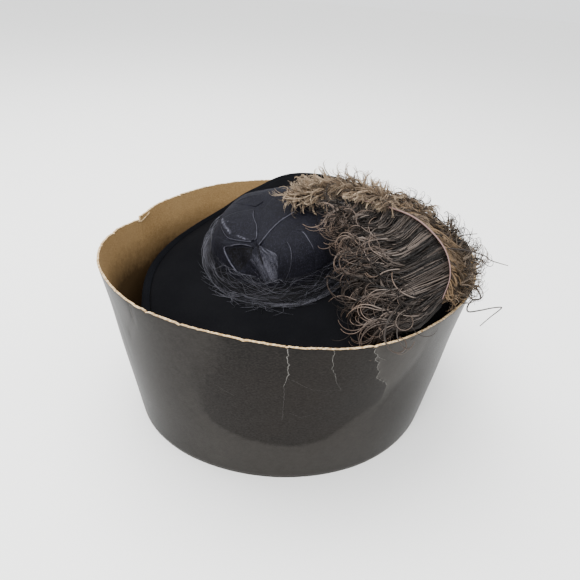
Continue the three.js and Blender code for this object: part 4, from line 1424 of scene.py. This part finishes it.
def wavyGuide(knots, reach, steps, waves, height, phase):
    up = Vector((0, 0, 1))
    side = (knots[-1] - knots[0]).normalized().cross(up).normalized()
    path = []
    for k in range(steps):
        t = k / (steps - 1)
        sway = height * min(1, 2.5 * t) * math.sin(phase + phaseSpan * waves * t)
        drift = height * 0.6 * t * math.sin(phase * 1.7 + phaseSpan * waves * 0.6 * t)
        path.append(alongLine(knots, reach * t) + side * sway + up * drift)
    return path


def innerKnots(rng, at, low, spread):
    # from the shaft over the bend and the sag to the tip of an inner barb
    lean = 0.035 + rng.uniform(-0.02, 0.02)
    root = alongLine(shaftLine, at) + Vector((0, 0, min(low, 0)))
    bend = alongLine(innerBendLine, min(at + lean, 1)) + Vector((0, 0, low))
    tip = alongLine(innerTipLine, min(at + lean * 1.3, 1)) + Vector((0, 0, low * 0.6))
    wide = rng.uniform(-spread, spread)
    shift = Vector((wide * 0.6, -wide * 0.5, rng.uniform(-2, 2)))
    return [root, bend + shift * 0.5, sagPoint(bend, tip) + shift, tip + shift]


def makeInnerBarbs():
    # dark barbs below as painted shade under the locks, then wavy ones that leave the shaft side
    # by side and gather into locks
    rng = random.Random(19)
    bundle = newBundle()
    for n in range(plumePiece["shadeStrands"]):
        knots = innerKnots(rng, rng.random(), rng.uniform(-10, -4), 6)
        guide = wavyGuide(knots, rng.uniform(0.75, 0.98), 10, 1.2, 1.5, n)
        addStrand(bundle, guide, rng.uniform(0.8, 1.3), 0.04 * rng.random(), tip=0.5, flat=0.6)
    count = plumePiece["innerLocks"]
    for n in range(count):
        at = min(1, (n + rng.random()) / count)
        low = rng.uniform(-3.5, 2.5)
        knots = innerKnots(rng, at, low, 7)
        reach = rng.uniform(*plumePiece["innerReach"])
        guide = wavyGuide(knots, reach, 14, rng.uniform(*plumePiece["innerWaves"]),
                          rng.uniform(*plumePiece["innerHeight"]), rng.uniform(0, phaseSpan))
        strands = rng.choice((2, 3, 4, 5))
        roots = [alongLine(shaftLine, clamp(at + rng.uniform(-0.022, 0.022)))
                 + Vector((0, 0, min(low, 0))) for k in range(strands)]
        curl = randomCurl(rng, "innerCurl")
        addLock(bundle, rng, guide, strands, rng.uniform(0.5, 1.6), plumePiece["strandRadius"],
                rng.choice(plumePiece["innerTones"]), curl, span=(0, reach), roots=roots)
    barbs = bundleObject("innerBarbs", bundle, barbFibre)
    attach(barbs, "root")
    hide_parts("plume_barbs")


def makeCurledBarbs():
    # the tangle of curled barb ends over the far edge and the foot of the plume
    rng = random.Random(23)
    bundle = newBundle()
    count = plumePiece["curlLocks"]
    for n in range(count):
        at = -0.06 + 1.06 * (n + rng.random()) / count
        low = 0.2 if at < 0.12 or at > 0.85 else 0.3
        out = low + (0.72 - low) * rng.random() ** 0.8
        long = rng.uniform(30, 92 - 50 * out) * (1.18 if at > 0.68 else 1)
        addTendril(bundle, rng, innerSheet, at, out, long, rng.uniform(0, 0.04),
                   rng.uniform(0.06, 0.19), rng.choice((1, 1, 2, 3)), plumePiece["curlRadius"],
                   rng.choice(plumePiece["curlTones"]), rng.uniform(-2, 5), (out * 0.5, 0.95))
    barbs = bundleObject("curledBarbs", bundle, barbFibre)
    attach(barbs, "root")


def makeOuterBarbs():
    # barbs that sweep along the outer side of the shaft towards its end
    rng = random.Random(29)
    bundle = newBundle()
    count = plumePiece["outerLocks"]
    for n in range(count):
        at = -0.2 + 1.2 * (n + rng.random()) / count
        low = rng.uniform(-5, 3)
        near = n % 3 == 0
        sweep = rng.uniform(*plumePiece["outerSweep"])
        out = rng.uniform(0.25, 0.6) if near else rng.uniform(0.6, 1.0)
        knots = [alongLine(shaftLine, max(at, 0)) + Vector((0, 0, min(low, 0)))]
        for part in (0.33, 0.66, 1):
            to = clamp(at + sweep * part)
            edge = alongLine(outerTipLine, to).lerp(alongLine(outerBendLine, to), 0.35)
            shift = scatterBy(rng, 4, 4).to_3d() + Vector((0, 0, low))
            knots.append(alongLine(shaftLine, to).lerp(edge, out * math.sin(part * 1.45))
                         + shift * part)
        # those past the end of the shaft hang down over the rim
        knots[3] += Vector((10, -25, -15)) * max(0, at + sweep - 1)
        guide = wavyGuide(knots, 1, 11, rng.uniform(*plumePiece["outerWaves"]),
                          rng.uniform(*plumePiece["outerHeight"]), rng.uniform(0, phaseSpan))
        curl = randomCurl(rng, "outerCurl")
        if 0.25 < at < 0.75 and not near:
            curl = randomCurl(rng, "middleCurl")
        addLock(bundle, rng, guide, rng.choice((3, 4, 5)), rng.uniform(0.7, 2.2),
                plumePiece["strandRadius"] * 0.95, rng.choice(plumePiece["outerTones"]), curl,
                span=(0, out))
    for n in range(plumePiece["outerCurls"]):
        addTendril(bundle, rng, outerSheet, rng.uniform(0.5, 0.98), rng.uniform(0.35, 0.8),
                   rng.uniform(*plumePiece["outerCurlLengths"]), rng.uniform(0, 0.05),
                   rng.uniform(0.09, 0.22), rng.choice((1, 2, 3)),
                   plumePiece["curlRadius"] * 0.85, rng.choice(plumePiece["outerCurlTones"]),
                   rng.uniform(-3, 2), (0.6, 1))
    barbs = bundleObject("outerBarbs", bundle, outerFibre)
    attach(barbs, "root")


def makeWisps():
    # long stray barbs that stand clear of the plume
    bundle = newBundle()
    for line, size in plumePiece["wisps"]:
        steps = 6 * (len(line) - 1) + 1
        path = curvePath([Vector(p) for p in line], steps)
        addStrand(bundle, path, size, 0.22, tip=0.5, sides=5)
    wisps = bundleObject("plumeWisps", bundle, barbFibre)
    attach(wisps, "root")


def makeShaft():
    bundle = newBundle()
    lift = Vector((0, 0, plumePiece["shaftLift"]))
    path = [p + lift for p in curvePath([Vector(plumePiece["shaftRoot"])] + shaftLine, 64)]
    addStrand(bundle, path, plumePiece["shaftRadius"], 0.8, tip=0.35, sides=10)
    shaft = bundleObject("plumeShaft", bundle, shaftHorn)
    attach(shaft, "root")
    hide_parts("plume_shaft")


headPiece = {
    # middle and roundness of the curled head
    "spine": [((-4, 44, 246), 14), ((22, 56, 251), 24), ((52, 62, 260), 28), ((84, 44, 264), 20),
              ((106, 20, 266), 12)],
    "tufts": 340,
    # roots of the tufts that hang over the start of the shaft
    "fringe": [(22, 78, 254), (44, 54, 264), (70, 30, 270), (96, 8, 274), (110, -8, 274)],
    "fringeTufts": 110,
    # soft tufts on the outer side of the shaft
    "sideTufts": 120,
    "radius": 0.5,
    "tones": (0.1, 0.35, 0.7, 0.9, 1),
    # lengths of the hanging and the side tufts, and the curls at their ends
    "fringeLengths": (14, 32),
    "sideLengths": (9, 20),
    "curlSizes": (3, 8),
    "curlTurns": (0.05, 0.45),
}


def headTuft(rng, line, sizes, u):
    # start, direction, bow, length and outward way of a tuft on the round head
    middle, size = alongLine(line, u), alongLine(sizes, u).x
    along = (alongLine(line, min(u + 0.02, 1)) - alongLine(line, max(u - 0.02, 0))).normalized()
    side = along.cross(Vector((0, 0, 1))).normalized()
    rise = side.cross(along).normalized()
    turn = rng.uniform(-0.4, math.pi + 0.4)
    out = (side * math.cos(turn) + rise * max(math.sin(turn), -0.2)).normalized()
    start = middle + out * (size * 0.1) + scatterBy(rng, 4, 4).to_3d()
    ahead = (out - along * rng.uniform(0.1, 1.3) + Vector((-0.25, 0, 0.1))).normalized()
    length = size * rng.uniform(0.7, 1.3) + 5
    return start, ahead, scatterBy(rng, 1, 1, (-1, 0.4)) * 0.14, length, out


def makeHead():
    rng = random.Random(37)
    bundle = newBundle()
    line = [Vector(at) for at, size in headPiece["spine"]]
    sizes = [Vector((size, 0, 0)) for at, size in headPiece["spine"]]
    fringe = [Vector(at) for at in headPiece["fringe"]]
    hangFrom = headPiece["tufts"]
    sideFrom = hangFrom + headPiece["fringeTufts"]
    for n in range(sideFrom + headPiece["sideTufts"]):
        u = rng.uniform(0, 1)
        start, ahead, bow, length, out = headTuft(rng, line, sizes, u)
        if n >= hangFrom:
            start = alongLine(fringe, u) + scatterBy(rng, 3, 3, (0, -3))
            ahead = scatterBy(rng, (-1.2, 0.3), (-1.1, 0.1), (0, 0.5)).normalized()
            bow = scatterBy(rng, 0.5, 0.5, (-1.6, -0.4)) * 0.18
            length = rng.uniform(*headPiece["fringeLengths"]) * (1 - 0.35 * u)
        if n >= sideFrom:
            place, far = -0.05 + rng.random() * 0.45, rng.uniform(0, 0.8)
            start = sheetPoint(outerSheet, place, far)
            ahead = (sheetPoint(outerSheet, place + 0.08, far + 0.1) - start).normalized()
            ahead = (ahead + scatterBy(rng, (-0.3, 0.5), (-0.3, 0.5), (0, 0.7))).normalized()
            length = rng.uniform(*headPiece["sideLengths"])
        guide, p, steps = [start], start.copy(), 8
        phase = rng.uniform(0, phaseSpan)
        for k in range(steps):
            sway = out.cross(ahead) * (0.28 * math.sin(phase + 0.9 * k))
            ahead = (ahead + bow + sway).normalized()
            p = p + ahead * (length / steps)
            guide.append(p.copy())
        hook = scatterBy(rng, 1, 1, 1).normalized()
        curl = (rng.uniform(*headPiece["curlSizes"]), rng.uniform(*headPiece["curlTurns"]), hook)
        addLock(bundle, rng, guide, rng.choice((4, 5, 6)), rng.uniform(0.8, 2.4),
                headPiece["radius"], rng.choice(headPiece["tones"]), curl, point=0.15)
    head = bundleObject("plumeHead", bundle, headFibre)
    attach(head, "root")
    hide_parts("plume_head")


makeInnerBarbs()
makeCurledBarbs()
makeOuterBarbs()
makeWisps()
makeShaft()
makeHead()
print("stage: plume made")


floorPiece = {
    # in metres
    "half": 6,
    "drop": 0.0004,
    "tone": (0.97, 0.97, 0.955, 1),
}


def addFloor():
    material, tree, shader = startMaterial("paleFloor", roughness=0.9, specular=0.1)
    shader.inputs["Base Color"].default_value = floorPiece["tone"]
    mesh = bpy.data.meshes.new("floor")
    half = floorPiece["half"]
    corners = [(-half, -half, 0), (half, -half, 0), (half, half, 0), (-half, half, 0)]
    mesh.from_pydata(corners, [], [(0, 1, 2, 3)])
    mesh.materials.append(material)
    floor = bpy.data.objects.new("floor", mesh)
    floor.location.z = -floorPiece["drop"]
    bpy.context.scene.collection.objects.link(floor)


lightSettings = {
    # place in metres, size, watts
    "overhead": ((-0.5, 0.4, 2.0), 1.6, 70),
    "front": ((-0.4, -1.6, 1.6), 1.4, 48),
    # where both lights point
    "aim": (0, 0, 0.15),
    "sky": 1.68,
    "skyTone": (0.98, 0.99, 1, 1),
}


def addLights():
    for name in ("overhead", "front"):
        place, size, power = lightSettings[name]
        data = bpy.data.lights.new(name, "AREA")
        data.size = size
        data.energy = power
        light = bpy.data.objects.new(name, data)
        light.location = place
        toward = Vector(lightSettings["aim"]) - Vector(place)
        light.rotation_euler = toward.to_track_quat("-Z", "Y").to_euler()
        bpy.context.scene.collection.objects.link(light)
    world = bpy.data.worlds.new("softSky")
    world.use_nodes = True
    background = world.node_tree.nodes["Background"]
    background.inputs[0].default_value = lightSettings["skyTone"]
    background.inputs[1].default_value = lightSettings["sky"]
    bpy.context.scene.world = world


addFloor()
addLights()
print("stage: floor and light made, triangles in all", sum(madeCount))
